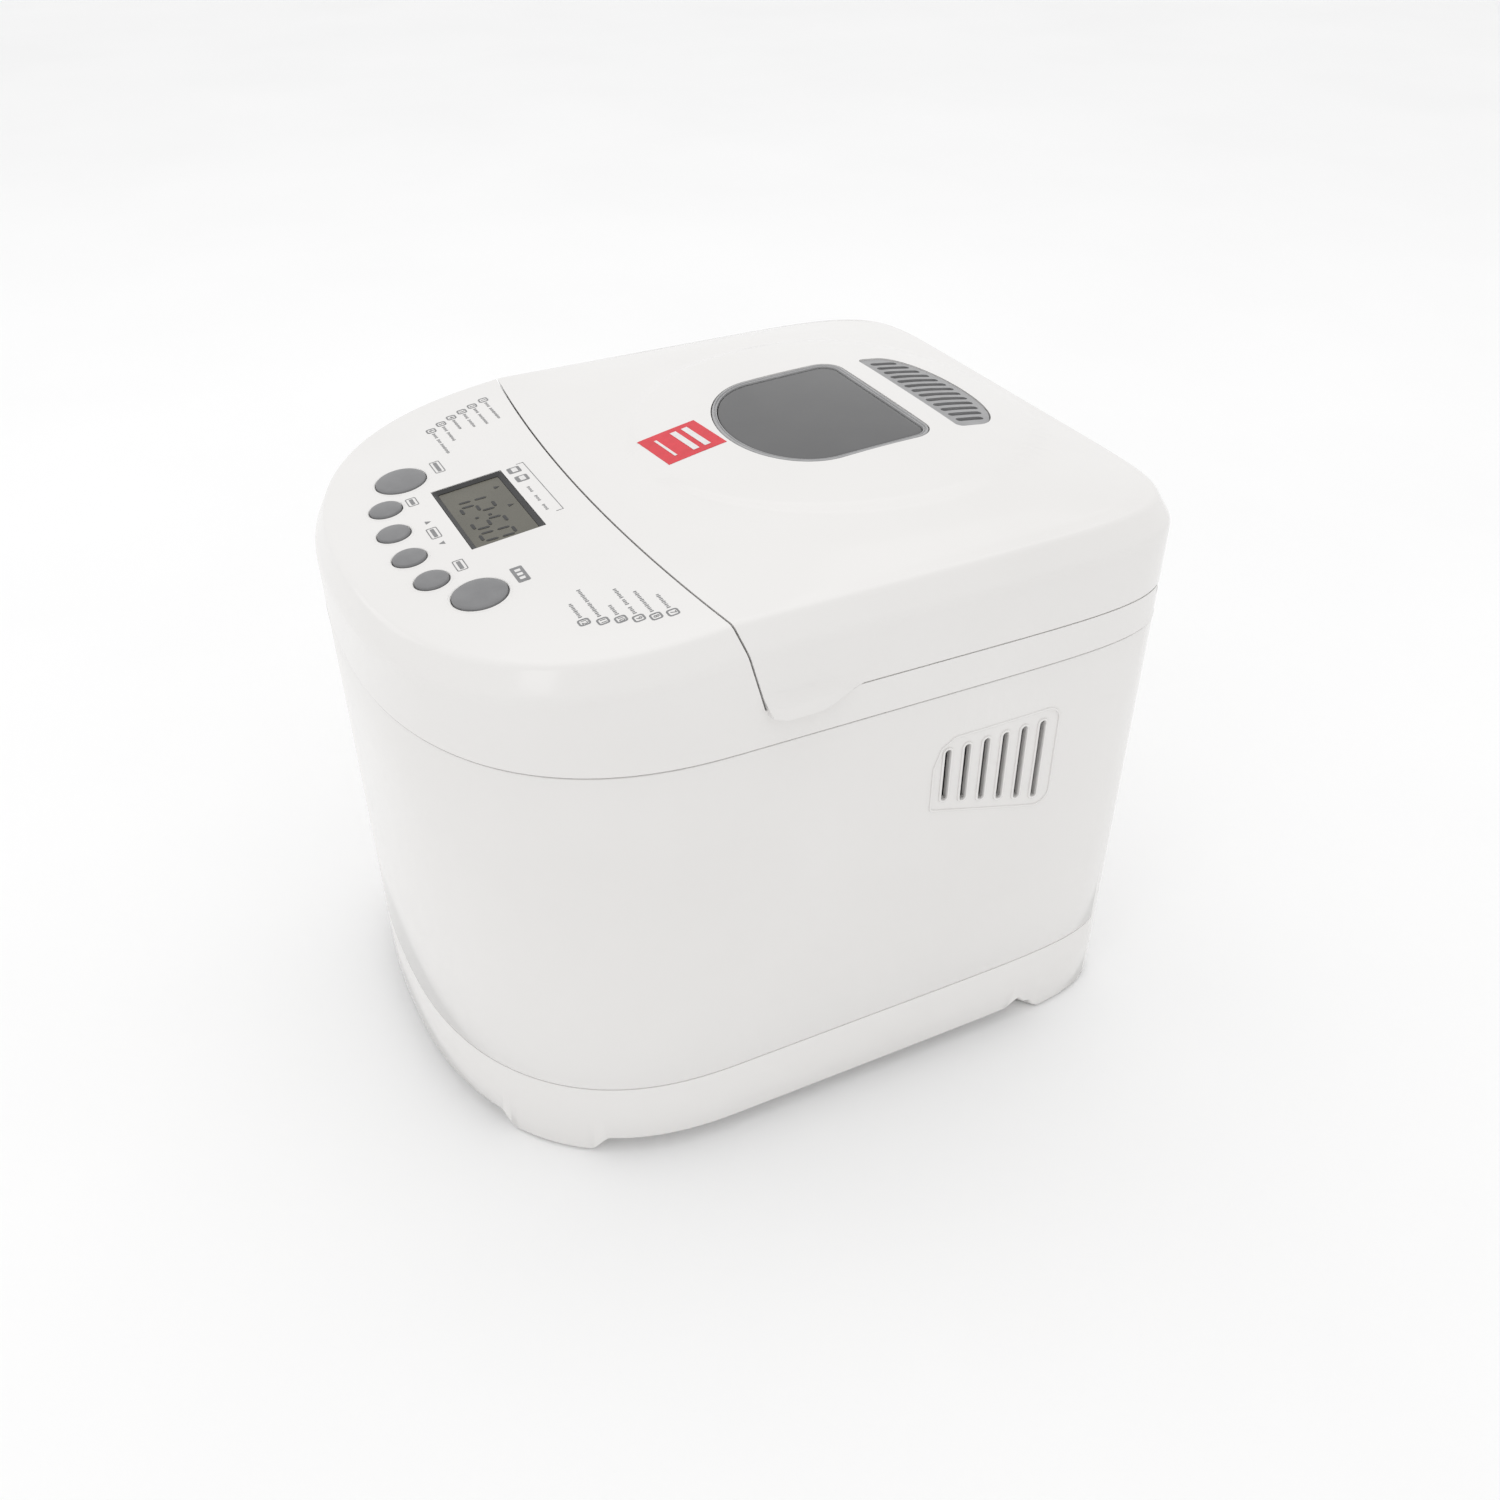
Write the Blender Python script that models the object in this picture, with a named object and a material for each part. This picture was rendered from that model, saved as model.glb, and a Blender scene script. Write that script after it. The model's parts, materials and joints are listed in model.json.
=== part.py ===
"""Counter-top bread machine, modelled as an assembly of separate pieces.

Units are metres, +Z is up and the origin is the bottom centre of the machine.
The control panel is at the front (-Y) and the lid is hinged at the rear (+Y).
"""
import math

import bmesh
import bpy
from mathutils import Matrix, Vector

# ---------------------------------------------------------------- driving sizes
GAP = 0.0003                # space left between pieces that touch
RUNNING_GAP = 0.0001        # radial clearance of a shaft or pin in its bore

# casing outline, seen from above
HALF_WIDTH = 0.1312         # at the rim, where the casing is widest
FRONT_REACH = 0.112         # from the widest line to the front of the rim
REAR_REACH = 0.204          # from the widest line to the rear of the rim
WIDEST_Y = -0.046           # where along the machine the casing is widest
FRONT_ROUNDNESS = 2.45      # superellipse powers: 2 is an ellipse, more is squarer
REAR_ROUNDNESS = 9.0
CORNER_CROWDING = 0.8       # how strongly outline points gather at the rear corners
OUTLINE_POINTS = 80
SIDE_TAPER = 0.006          # how much the walls lean in for each metre downwards

# heights
FOOT_UNDERSIDE = 0.0010     # the rubber pads stand this far proud of the feet
ARCH_HEIGHT = 0.0085        # lower edge of the base between its feet
BASE_FLOOR = 0.0030
BASE_TOP = 0.0395
SHELL_TOP = 0.2000
LID_EDGE = 0.2160           # lower edge of the lid
SEAM_TOP = 0.2508           # top surface where the lid meets the panel
SLOPE_START = -0.046        # both slopes are measured from here
PANEL_SLOPE = 0.127         # rise per metre of the control panel
LID_EDGE_SLOPE = 0.012      # rise per metre of the lid's side edges
CROWN_RISE = 0.012          # how far the middle of the lid stands above its edges
CROWN_PEAK_Y = 0.080
BEVEL_DROP = 0.0108         # the band between the top surface and the rim
BEVEL_INSET = 0.0055
DECK_THICKNESS = 0.0067     # the frame's deck around the oven mouth

# walls
CASE_WALL = 0.0025
LIP_HEIGHT = 0.0040         # inner lips that locate base and frame in the shell
LIP_WALL = 0.0020

# parting line between control panel and lid
PARTING_MIDDLE_Y = -0.0562
PARTING_BOW = 0.0078        # how far its ends lie behind its middle
PARTING_LEAN = 0.28         # it slants rearwards as it runs down
PARTING_HALF_GAP = 0.0006

# finger tabs on the lid's two long sides
TAB_REACH = 0.0040
TAB_END = 0.0008            # thickness of the lip at its two ends
TAB_FRONT_Y = -0.037
TAB_REAR_Y = 0.001
TAB_BOTTOM = 0.2126
TAB_TOP = 0.2290

# lid furniture, as half widths and ends along Y
WINDOW_HALF = 0.0420
WINDOW_FRONT_Y = 0.0120
WINDOW_SHOULDER_Y = 0.0400
WINDOW_REAR_Y = 0.0815
WINDOW_CORNER = 0.0070
BEZEL_WIDTH = 0.0024
PANE_THICKNESS = 0.0025
GRILLE_FRONT_Y = 0.0960
GRILLE_SHOULDER_Y = 0.1060
GRILLE_REAR_Y = 0.1240
GRILLE_SLOTS = 13
GRILLE_SLOT_WIDTH = 0.0030
GRILLE_THICKNESS = 0.0022
LINER_THICKNESS = 0.0012
LINER_LIFT = 0.0030         # liner underside above the lid's lower edge

BOSS_RADIUS = 0.0042
BOSS_SPIGOT = 0.0016        # pegs under the lid's bosses that locate the liner

# lid hinge
HINGE_Y = 0.1515
HINGE_Z = LID_EDGE + 0.0035
HINGE_LUG_X = 0.0500
HINGE_LUG_HALF = 0.0040
HINGE_PIN_RADIUS = 0.0020
HINGE_SIDE_GAP = 0.0008
LUG_HALF = 0.0040           # half depth and half height of a casing lug round its pin
LID_LUG_HALF = 0.0045
LID_LUG_WIDTH = 0.0050
LUG_SIDE_ROOM = 0.0002      # between a lid lug and the edge of its notch
LUG_NOTCH_RISE = 0.0075     # how far a notch in the lid reaches above the pin
PIN_BORE_REACH = 0.1200     # half length of the cutter for the pin bores
HINGE_RELIEF_HALF = 0.1200  # half length of the hollow the lid's rear edge turns into

# control panel
PANEL_TILT = math.atan(PANEL_SLOPE)
BUTTON_RISE = 0.0012
BUTTON_TRAVEL = 0.0010
BUTTON_HOLE_GAP = 0.00035
BUTTON_FLANGE = 0.0012
BUTTON_STEM = 0.0030
BIG_BUTTON_RADIUS = 0.0105
SMALL_BUTTON_RADIUS = 0.0066
BUTTONS = {
    "menu_button": (-0.0530, -0.1145, BIG_BUTTON_RADIUS),
    "start_stop_button": (0.0530, -0.1145, BIG_BUTTON_RADIUS),
    "loaf_size_button": (-0.0324, -0.1265, SMALL_BUTTON_RADIUS),
    "time_up_button": (-0.0111, -0.1290, SMALL_BUTTON_RADIUS),
    "time_down_button": (0.0111, -0.1290, SMALL_BUTTON_RADIUS),
    "crust_button": (0.0324, -0.1265, SMALL_BUTTON_RADIUS),
}
DISPLAY_X = -0.0080
DISPLAY_Y = -0.0918
DISPLAY_HALF_X = 0.0278
DISPLAY_HALF_Y = 0.0152
DISPLAY_LEDGE = 0.0026      # ledge around the opening that the display window rests on
BOARD_DEPTH = 0.0150        # control board below the panel surface
BOARD_THICKNESS = 0.0016
SWITCH_HALF = 0.0030
SWITCH_GAP = 0.0014         # between a button's stem and its switch at rest

# oven chamber
OVEN_Y = 0.0500
OVEN_HALF_X = 0.0930
OVEN_HALF_Y = 0.0810
OVEN_CORNER = 0.0250
OVEN_FLOOR = 0.0650
OVEN_WALL = 0.0010
OVEN_FLANGE = 0.0080

# bread pan
PAN_TOP_HALF_X = 0.0780
PAN_TOP_HALF_Y = 0.0660
PAN_BASE_HALF_X = 0.0700
PAN_BASE_HALF_Y = 0.0580
PAN_CORNER = 0.0220
PAN_BOTTOM = 0.0820
PAN_TOP = 0.1960
PAN_WALL = 0.0015
PAN_RIM = 0.0040
FOOT_RING_RADIUS = 0.0280   # the ring under the pan that stands on the oven floor
FOOT_RING_WALL = 0.0030
HANDLE_RADIUS = 0.0020
HANDLE_PIVOT_DROP = 0.0060  # pivots below the pan's rim
HANDLE_CLEARANCE = 0.0025   # between the rim and the folded handle

# drive
SHAFT_RADIUS = 0.0040
PULLEY_BOTTOM = 0.0190
PULLEY_TOP = 0.0350
PULLEY_FLANGE = 0.0015
LARGE_PULLEY_RADIUS = 0.0380
MOTOR_PULLEY_RADIUS = 0.0080
BELT_THICKNESS = 0.0016
CHASSIS_Z = 0.0420
CHASSIS_THICKNESS = 0.0020
MOTOR_Y = -0.0980
MOTOR_RADIUS = 0.0300
MOTOR_HEIGHT = 0.0700
MOTOR_SHAFT_RADIUS = 0.0030

# heating element
ELEMENT_RADIUS = 0.0032
ELEMENT_Z = 0.0760
ELEMENT_HALF_X = 0.0840
ELEMENT_HALF_Y = 0.0720
ELEMENT_LEG_X = 0.0200

# side vents
VENT_SLOTS = 6
VENT_FIRST_Y = 0.0418
VENT_PITCH = 0.0090
VENT_SLOT_WIDTH = 0.0032
VENT_TOP = 0.1735
VENT_BOTTOM = 0.1490
VENT_BOTTOM_FALL = 0.0027   # each slot reaches this much lower than the one before

# feet
FOOT_FRONT_Y = -0.1080      # front feet reach back to here
FOOT_REAR_Y = 0.1060        # rear feet start here
FOOT_INNER_X = 0.0850
PAD_RADIUS = 0.0060
PAD_DEPTH = 0.0020
PAD_PLACES = [(-0.0930, -0.1160), (0.0930, -0.1160), (-0.0960, 0.1180), (0.0960, 0.1180)]
SCREW_RADIUS = 0.0016
SCREW_HEAD_RADIUS = 0.0032
SCREW_GAP = 0.0004

INLET_X = -0.0700
INLET_Z = 0.0560
INLET_RADIUS = 0.0060
INLET_FLANGE = 0.0085
INLET_BORE = 0.0035
INLET_PROUD = 0.0011        # how far the flange stands out of the rear wall
INLET_DEPTH = 0.0080        # how far the grommet reaches inside

# ---------------------------------------------------------------- derived sizes
DECK_TOP = LID_EDGE - GAP
DECK_UNDERSIDE = DECK_TOP - DECK_THICKNESS
OVEN_TOP = DECK_UNDERSIDE - GAP
LINER_Z = LID_EDGE + LINER_LIFT
REAR_Y = WIDEST_Y + REAR_REACH
FRONT_Y = WIDEST_Y - FRONT_REACH

PARTS = None
CUTTERS = None


# ---------------------------------------------------------------- scene helpers
def clear_scene():
    for item in list(bpy.data.objects):
        bpy.data.objects.remove(item, do_unlink=True)


def new_collection(name):
    group = bpy.data.collections.new(name)
    bpy.context.scene.collection.children.link(group)
    return group


def make_material(name, color, roughness, metallic=0.0):
    material = bpy.data.materials.new(name)
    material.use_nodes = True
    shader = material.node_tree.nodes["Principled BSDF"]
    shader.inputs["Base Color"].default_value = (*color, 1.0)
    shader.inputs["Roughness"].default_value = roughness
    shader.inputs["Metallic"].default_value = metallic
    return material


def add_object(name, data, material=None):
    """Link a piece, or a cutter when it has no material."""
    item = bpy.data.objects.new(name, data)
    if material is None:
        CUTTERS.objects.link(item)
        item.hide_render = True
        item.display_type = "WIRE"
    else:
        PARTS.objects.link(item)
        data.materials.append(material)
    return item


def mesh_object(name, shape, material=None):
    mesh = bpy.data.meshes.new(name)
    bmesh.ops.recalc_face_normals(shape, faces=shape.faces)
    shape.to_mesh(mesh)
    shape.free()
    return add_object(name, mesh, material)


def smooth(item):
    """Shade round faces smooth and keep edges sharper than 40 degrees crisp."""
    item.data.shade_smooth()
    item.data.set_sharp_from_angle(angle=math.radians(40))
    return item


def combine(target, other, operation):
    """Boolean of target with another object, which is kept as a guide."""
    modifier = target.modifiers.new(other.name, "BOOLEAN")
    modifier.operation = operation
    modifier.solver = "EXACT"
    modifier.object = other
    return target


def cut(target, other):
    return combine(target, other, "DIFFERENCE")


def join(target, other):
    return combine(target, other, "UNION")


# ---------------------------------------------------------------- basic shapes
def loft(name, rings, material=None, closed=False):
    """Skin through rings of equal count that run anticlockwise from above, upwards."""
    shape = bmesh.new()
    rows = [[shape.verts.new(point) for point in ring] for ring in rings]
    pairs = list(zip(rows, rows[1:]))
    if closed:
        pairs.append((rows[-1], rows[0]))
    for low, high in pairs:
        for index in range(len(low)):
            after = (index + 1) % len(low)
            shape.faces.new((low[index], low[after], high[after], high[index]))
    if not closed:
        shape.faces.new(rows[0][::-1])
        shape.faces.new(rows[-1])
    return mesh_object(name, shape, material)


def boxes(name, corners, material=None):
    """One object that holds a cube for each pair of low and high corners."""
    shape = bmesh.new()
    for low, high in corners:
        low, high = Vector(low), Vector(high)
        size = Matrix.Diagonal((*(high - low), 1.0))
        bmesh.ops.create_cube(shape, size=1.0, matrix=Matrix.Translation((low + high) / 2) @ size)
    return mesh_object(name, shape, material)


def box(name, low, high, material=None):
    return boxes(name, [(low, high)], material)


def rods(name, ends, radius, material=None, sides=24):
    """One object that holds a round bar for each pair of end points."""
    shape = bmesh.new()
    for start, end in ends:
        start, end = Vector(start), Vector(end)
        turn = (end - start).to_track_quat("Z", "Y").to_matrix().to_4x4()
        bmesh.ops.create_cone(shape, cap_ends=True, segments=sides, radius1=radius, radius2=radius,
                              depth=(end - start).length,
                              matrix=Matrix.Translation((start + end) / 2) @ turn)
    return smooth(mesh_object(name, shape, material))


def rod(name, start, end, radius, material=None, sides=24):
    return rods(name, [(start, end)], radius, material, sides)


def turned(name, profile, place, material=None, steps=32, looped=False, rotation=(0, 0, 0)):
    """Revolve a profile of (radius, height) points, listed down the outer side."""
    shape = bmesh.new()
    rows = []
    for radius, height in profile:
        count = steps if radius > 0 else 1
        angles = [math.tau * index / count for index in range(count)]
        rows.append([shape.verts.new((radius * math.cos(angle), radius * math.sin(angle), height))
                     for angle in angles])
    pairs = list(zip(rows, rows[1:]))
    if looped:
        pairs.append((rows[-1], rows[0]))
    for high, low in pairs:
        for index in range(steps):
            after = (index + 1) % steps
            corners = [high[index % len(high)], high[after % len(high)],
                       low[after % len(low)], low[index % len(low)]]
            corners = list(dict.fromkeys(corners))
            if len(corners) > 2:
                shape.faces.new(corners)
    item = smooth(mesh_object(name, shape, material))
    item.location = place
    item.rotation_euler = rotation
    return item


def plate(name, loops, thickness, place, material, rotation=(0, 0, 0)):
    """Flat piece from closed outlines; inner outlines are holes. Place is its mid-plane."""
    curve = bpy.data.curves.new(name, "CURVE")
    curve.dimensions = "2D"
    curve.fill_mode = "BOTH"
    curve.extrude = thickness / 2
    for loop in loops:
        spline = curve.splines.new("POLY")
        spline.points.add(len(loop) - 1)
        for point, (x, y) in zip(spline.points, loop):
            point.co = (x, y, 0.0, 1.0)
        spline.use_cyclic_u = True
    item = add_object(name, curve, material)
    item.location = place
    item.rotation_euler = rotation
    return item


def wire(name, points, radius, material):
    curve = bpy.data.curves.new(name, "CURVE")
    curve.dimensions = "3D"
    curve.bevel_depth = radius
    curve.bevel_resolution = 2
    curve.use_fill_caps = True
    spline = curve.splines.new("POLY")
    spline.points.add(len(points) - 1)
    for point, place in zip(spline.points, points):
        point.co = (*place, 1.0)
    return add_object(name, curve, material)


# ---------------------------------------------------------------- outlines
def arc(center, radius, start, end, steps):
    """Points of an arc in the plane, angles in degrees."""
    places = []
    for index in range(steps + 1):
        angle = math.radians(start + (end - start) * index / steps)
        places.append((center[0] + radius * math.cos(angle), center[1] + radius * math.sin(angle)))
    return places


def rounded_rectangle(half_x, half_y, corner, center=(0.0, 0.0), steps=5):
    places = []
    for turn, (side_x, side_y) in enumerate([(1, 1), (-1, 1), (-1, -1), (1, -1)]):
        middle = (center[0] + side_x * (half_x - corner), center[1] + side_y * (half_y - corner))
        places += arc(middle, corner, 90 * turn, 90 * turn + 90, steps)
    return places


def d_outline(half_x, round_y, shoulder_y, flat_y, corner, grow=0.0):
    """D shape: an elliptic end at round_y, a flat end with small corners at flat_y."""
    toward_flat = 1 if flat_y > round_y else -1
    wide = half_x + grow
    flat = flat_y + toward_flat * grow
    deep = abs(shoulder_y - round_y) + grow
    places = []
    for index in range(17):
        angle = math.pi * index / 16
        places.append((wide * math.cos(angle), shoulder_y - toward_flat * deep * math.sin(angle)))
    for side, start in ((-1, 180), (1, 90)):
        middle = (side * (wide - corner), flat - toward_flat * corner)
        turn = arc((0, 0), corner, start, start - 90, 4)
        places += [(middle[0] + x, middle[1] + toward_flat * y) for x, y in turn]
    return places if toward_flat < 0 else places[::-1]


def casing_outline(inset):
    """Casing outline seen from above, moved in by inset."""
    wide = HALF_WIDTH - inset
    places = []
    for index in range(OUTLINE_POINTS):
        turn = math.tau * index / OUTLINE_POINTS
        if turn < math.pi:
            turn += CORNER_CROWDING / 4 * math.sin(4 * turn)
            reach, power = REAR_REACH - inset, REAR_ROUNDNESS
        else:
            reach, power = FRONT_REACH - inset, FRONT_ROUNDNESS
        across, along = math.cos(turn), math.sin(turn)
        radius = (abs(across) ** power + abs(along) ** power) ** (-1 / power)
        places.append((wide * radius * across, reach * radius * along + WIDEST_Y))
    return places


def wall_inset(height):
    """How far the tapering wall lies inside the rim at a height."""
    return (SEAM_TOP - BEVEL_DROP - height) * SIDE_TAPER


def rear_wall_y(x, height):
    """Where the outside of the rear wall lies at a distance x from the middle."""
    inset = wall_inset(height)
    wide = HALF_WIDTH - inset
    share = (1 - (abs(x) / wide) ** REAR_ROUNDNESS) ** (1 / REAR_ROUNDNESS)
    return WIDEST_Y + (REAR_REACH - inset) * share


def level_ring(inset, height):
    return [(x, y, height) for x, y in casing_outline(inset + wall_inset(height))]


def panel_height(y):
    return SEAM_TOP + PANEL_SLOPE * (y - SLOPE_START)


def edge_height(y):
    if y < SLOPE_START:
        return panel_height(y)
    return SEAM_TOP + LID_EDGE_SLOPE * (y - SLOPE_START)


def lid_height(x, y):
    """Top surface of the lid: its edge line plus a soft crown."""
    if y <= SLOPE_START:
        return panel_height(y)
    if y < CROWN_PEAK_Y:
        along = math.sin(math.pi / 2 * (y - SLOPE_START) / (CROWN_PEAK_Y - SLOPE_START))
    else:
        rear = REAR_Y - BEVEL_INSET
        along = math.cos(math.pi / 2 * min(1.0, (y - CROWN_PEAK_Y) / (rear - CROWN_PEAK_Y)))
    across = 1 - min(1.0, abs(x) / (HALF_WIDTH - BEVEL_INSET)) ** 3
    return edge_height(y) + CROWN_RISE * across * along


def parting_y(x, height):
    bow = PARTING_BOW * (x / (HALF_WIDTH - BEVEL_INSET)) ** 2
    return PARTING_MIDDLE_Y + bow + PARTING_LEAN * (SEAM_TOP - height)


def parting_prism(name, shift, toward_rear, low, high):
    """Everything behind, or in front of, the parting surface moved by shift along Y."""
    reach = HALF_WIDTH * 1.3
    rings = []
    for height in (low, high):
        across = [reach * (index / 8 - 1) for index in range(17)]
        ring = [(x, parting_y(x, height) + shift, height) for x in across]
        far = REAR_REACH * 1.5 if toward_rear else -REAR_REACH * 1.5
        ring += [(reach, far, height), (-reach, far, height)]
        rings.append(ring if toward_rear else ring[::-1])
    return loft(name, rings)


def on_panel(x, y, depth=0.0):
    """World place of a point this far below the panel surface, square to it."""
    normal = Vector((0.0, -math.sin(PANEL_TILT), math.cos(PANEL_TILT)))
    return Vector((x, y, panel_height(y))) - normal * depth


PANEL_TURN = (PANEL_TILT, 0.0, 0.0)


# ---------------------------------------------------------------- casing
def make_base(white):
    rings = [
        level_ring(0.0, FOOT_UNDERSIDE),
        level_ring(0.0, BASE_TOP - GAP),
        level_ring(CASE_WALL + GAP, BASE_TOP - GAP),
        level_ring(CASE_WALL + GAP, BASE_TOP + LIP_HEIGHT),
        level_ring(CASE_WALL + GAP + LIP_WALL, BASE_TOP + LIP_HEIGHT),
        level_ring(CASE_WALL + GAP + LIP_WALL, ARCH_HEIGHT + BASE_FLOOR),
    ]
    base = loft("base", rings, white)
    below = FOOT_UNDERSIDE - 0.004
    slant = 0.35
    arches = []
    for name, along_y in (("base_side_arch", True), ("base_end_arch", False)):
        ring_pair = []
        for height in (below, ARCH_HEIGHT):
            lean = slant * (ARCH_HEIGHT - height)
            if along_y:
                front, rear, side = FOOT_FRONT_Y - lean, FOOT_REAR_Y + lean, HALF_WIDTH * 1.2
            else:
                front, rear, side = FRONT_Y * 1.2, REAR_Y * 1.2, FOOT_INNER_X + lean
            ring_pair.append([(-side, front, height), (side, front, height),
                              (side, rear, height), (-side, rear, height)])
        arches.append(loft(name, ring_pair))
    for arch in arches:
        cut(base, arch)
    sockets = [((x, y, below), (x, y, FOOT_UNDERSIDE + PAD_DEPTH - 0.0007)) for x, y in PAD_PLACES]
    cut(base, rods("pad_sockets", sockets, PAD_RADIUS + GAP))
    slots = []
    for index in range(7):
        x = (index - 3) * 0.009
        slots.append(((x - 0.0015, MOTOR_Y - 0.024, ARCH_HEIGHT - 0.004),
                      (x + 0.0015, MOTOR_Y + 0.024, ARCH_HEIGHT + BASE_FLOOR + 0.004)))
    cut(base, boxes("base_vent_slots", slots))
    holes = [((x, y, ARCH_HEIGHT - 0.002), (x, y, ARCH_HEIGHT + BASE_FLOOR + 0.002))
             for x, y in chassis_posts()]
    cut(base, rods("base_screw_holes", holes, SCREW_RADIUS + SCREW_GAP, sides=16))
    return base


def make_foot_pads(rubber):
    names = ("front_left", "front_right", "rear_left", "rear_right")
    for name, (x, y) in zip(names, PAD_PLACES):
        rod("foot_pad_" + name, (x, y, 0.0), (x, y, PAD_DEPTH), PAD_RADIUS, rubber)


def make_body_shell(white):
    low, high = BASE_TOP, SHELL_TOP - GAP
    rings = [level_ring(0.0, low), level_ring(0.0, high),
             level_ring(CASE_WALL, high), level_ring(CASE_WALL, low)]
    shell = loft("body_shell", rings, white, closed=True)
    slots = []
    for index in range(VENT_SLOTS):
        y = VENT_FIRST_Y + VENT_PITCH * index
        bottom = VENT_BOTTOM - VENT_BOTTOM_FALL * index
        for side in (-1, 1):
            near, far = sorted((side * HALF_WIDTH * 0.85, side * HALF_WIDTH * 1.1))
            slots.append(((near, y - VENT_SLOT_WIDTH / 2, bottom),
                          (far, y + VENT_SLOT_WIDTH / 2, VENT_TOP)))
    cut(shell, boxes("side_vent_slots", slots))
    hole = rod("inlet_hole", (INLET_X, REAR_Y - 0.02, INLET_Z), (INLET_X, REAR_Y + 0.01, INLET_Z),
               INLET_RADIUS + GAP)
    return cut(shell, hole)


def make_top_frame(white):
    """Control panel housing in one piece with the deck around the oven mouth."""
    rim = [(x, y, panel_height(y) - BEVEL_DROP) for x, y in casing_outline(0.0)]
    crease = [(x, y, panel_height(y)) for x, y in casing_outline(BEVEL_INSET)]
    lip = CASE_WALL + GAP
    rings = [level_ring(lip, SHELL_TOP - LIP_HEIGHT), level_ring(lip, SHELL_TOP),
             level_ring(0.0, SHELL_TOP), rim, crease]
    frame = loft("top_frame", rings, white)

    inner_rim = [(x, y, panel_height(y) - BEVEL_DROP) for x, y in casing_outline(CASE_WALL)]
    inner_crease = [(x, y, panel_height(y) - CASE_WALL)
                    for x, y in casing_outline(BEVEL_INSET + CASE_WALL * 0.7)]
    hollow = loft("frame_hollow", [
        level_ring(lip + LIP_WALL, SHELL_TOP - 2 * LIP_HEIGHT),
        level_ring(lip + LIP_WALL, SHELL_TOP + CASE_WALL / 2),
        level_ring(CASE_WALL, SHELL_TOP + CASE_WALL * 1.5), inner_rim, inner_crease])
    high = SEAM_TOP + 0.060
    cut(hollow, parting_prism("frame_rear_deck", -PARTING_HALF_GAP - CASE_WALL, True,
                              DECK_UNDERSIDE, high))
    cut(frame, hollow)
    cut(frame, parting_prism("lid_space", -PARTING_HALF_GAP, True, DECK_TOP, high))
    mouth = rounded_rectangle(OVEN_HALF_X, OVEN_HALF_Y, OVEN_CORNER, (0.0, OVEN_Y))
    cut(frame, loft("oven_mouth", [[(x, y, z) for x, y in mouth]
                                   for z in (DECK_UNDERSIDE - 0.02, DECK_TOP + 0.02)]))
    relief_radius = math.hypot(REAR_Y - HINGE_Y, HINGE_Z - LID_EDGE) + 2 * GAP
    cut(frame, box("hinge_relief", (-HINGE_RELIEF_HALF, HINGE_Y - relief_radius, HINGE_Z - relief_radius),
                   (HINGE_RELIEF_HALF, REAR_Y + 0.01, DECK_TOP + 0.02)))
    for side in (-1, 1):
        middle = side * HINGE_LUG_X
        lug = box("frame_hinge_lug", (middle - HINGE_LUG_HALF, HINGE_Y - LUG_HALF,
                                      DECK_UNDERSIDE + 0.001),
                  (middle + HINGE_LUG_HALF, HINGE_Y + LUG_HALF, HINGE_Z + LUG_HALF))
        join(frame, lug)
    cut(frame, rod("frame_hinge_bore", (-PIN_BORE_REACH, HINGE_Y, HINGE_Z),
                   (PIN_BORE_REACH, HINGE_Y, HINGE_Z), HINGE_PIN_RADIUS + RUNNING_GAP, sides=16))
    for name, (x, y, radius) in BUTTONS.items():
        hole = rod(name + "_hole", on_panel(x, y, 0.010), on_panel(x, y, -0.010),
                   radius + BUTTON_HOLE_GAP)
        cut(frame, hole)
    recess = box("display_recess", (-DISPLAY_HALF_X, -DISPLAY_HALF_Y, -0.0018),
                 (DISPLAY_HALF_X, DISPLAY_HALF_Y, 0.010))
    opening = box("display_opening", (DISPLAY_LEDGE - DISPLAY_HALF_X, DISPLAY_LEDGE - DISPLAY_HALF_Y,
                                      -0.010),
                  (DISPLAY_HALF_X - DISPLAY_LEDGE, DISPLAY_HALF_Y - DISPLAY_LEDGE, 0.010))
    for cutter in (recess, opening):
        cutter.location = on_panel(DISPLAY_X, DISPLAY_Y)
        cutter.rotation_euler = PANEL_TURN
        cut(frame, cutter)
    return frame


# ---------------------------------------------------------------- lid
def lid_rings(inset, drop, low, shares):
    """Rings of the lid's skin, or of its hollow when inset and drop are more than 0."""
    outer = casing_outline(BEVEL_INSET + inset)
    rings = [level_ring(inset, low),
             [(x, y, edge_height(y) - BEVEL_DROP - drop * 0.3) for x, y in casing_outline(inset)],
             [(x, y, edge_height(y) - drop) for x, y in outer]]
    for share in shares:
        rings.append([(x * share, y * share, lid_height(x * share, y * share) - drop)
                      for x, y in outer])
    return rings


def make_tab(side):
    """Finger tab: a lip that swells out of the lid's side and hangs below its edge."""
    rings = []
    wall = HALF_WIDTH - wall_inset(LID_EDGE)
    steps = 8
    sections = ((TAB_BOTTOM, TAB_REACH, GAP), (LID_EDGE + GAP, TAB_REACH, GAP),
                (LID_EDGE + 0.0015, TAB_REACH * 0.8, -CASE_WALL / 2),
                (LID_EDGE + 0.0050, TAB_REACH * 0.35, -CASE_WALL / 2),
                (TAB_TOP, 0.0, -CASE_WALL / 2))
    for height, reach, inner in sections:
        ring = []
        for index in range(steps + 1):
            share = index / steps
            bulge = math.sin(math.pi * share) ** 0.7 if 0 < share < 1 else 0.0
            y = TAB_FRONT_Y + (TAB_REAR_Y - TAB_FRONT_Y) * share
            ring.append((side * (wall + TAB_END + reach * bulge), y, height))
        ring += [(side * (wall + inner), TAB_REAR_Y - 0.0005, height),
                 (side * (wall + inner), TAB_FRONT_Y + 0.0005, height)]
        rings.append(ring)
    return loft("lid_tab", rings)


def lid_bosses():
    return [(-0.100, -0.0150), (0.100, -0.0150), (-0.096, 0.1180), (0.096, 0.1180)]


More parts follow.
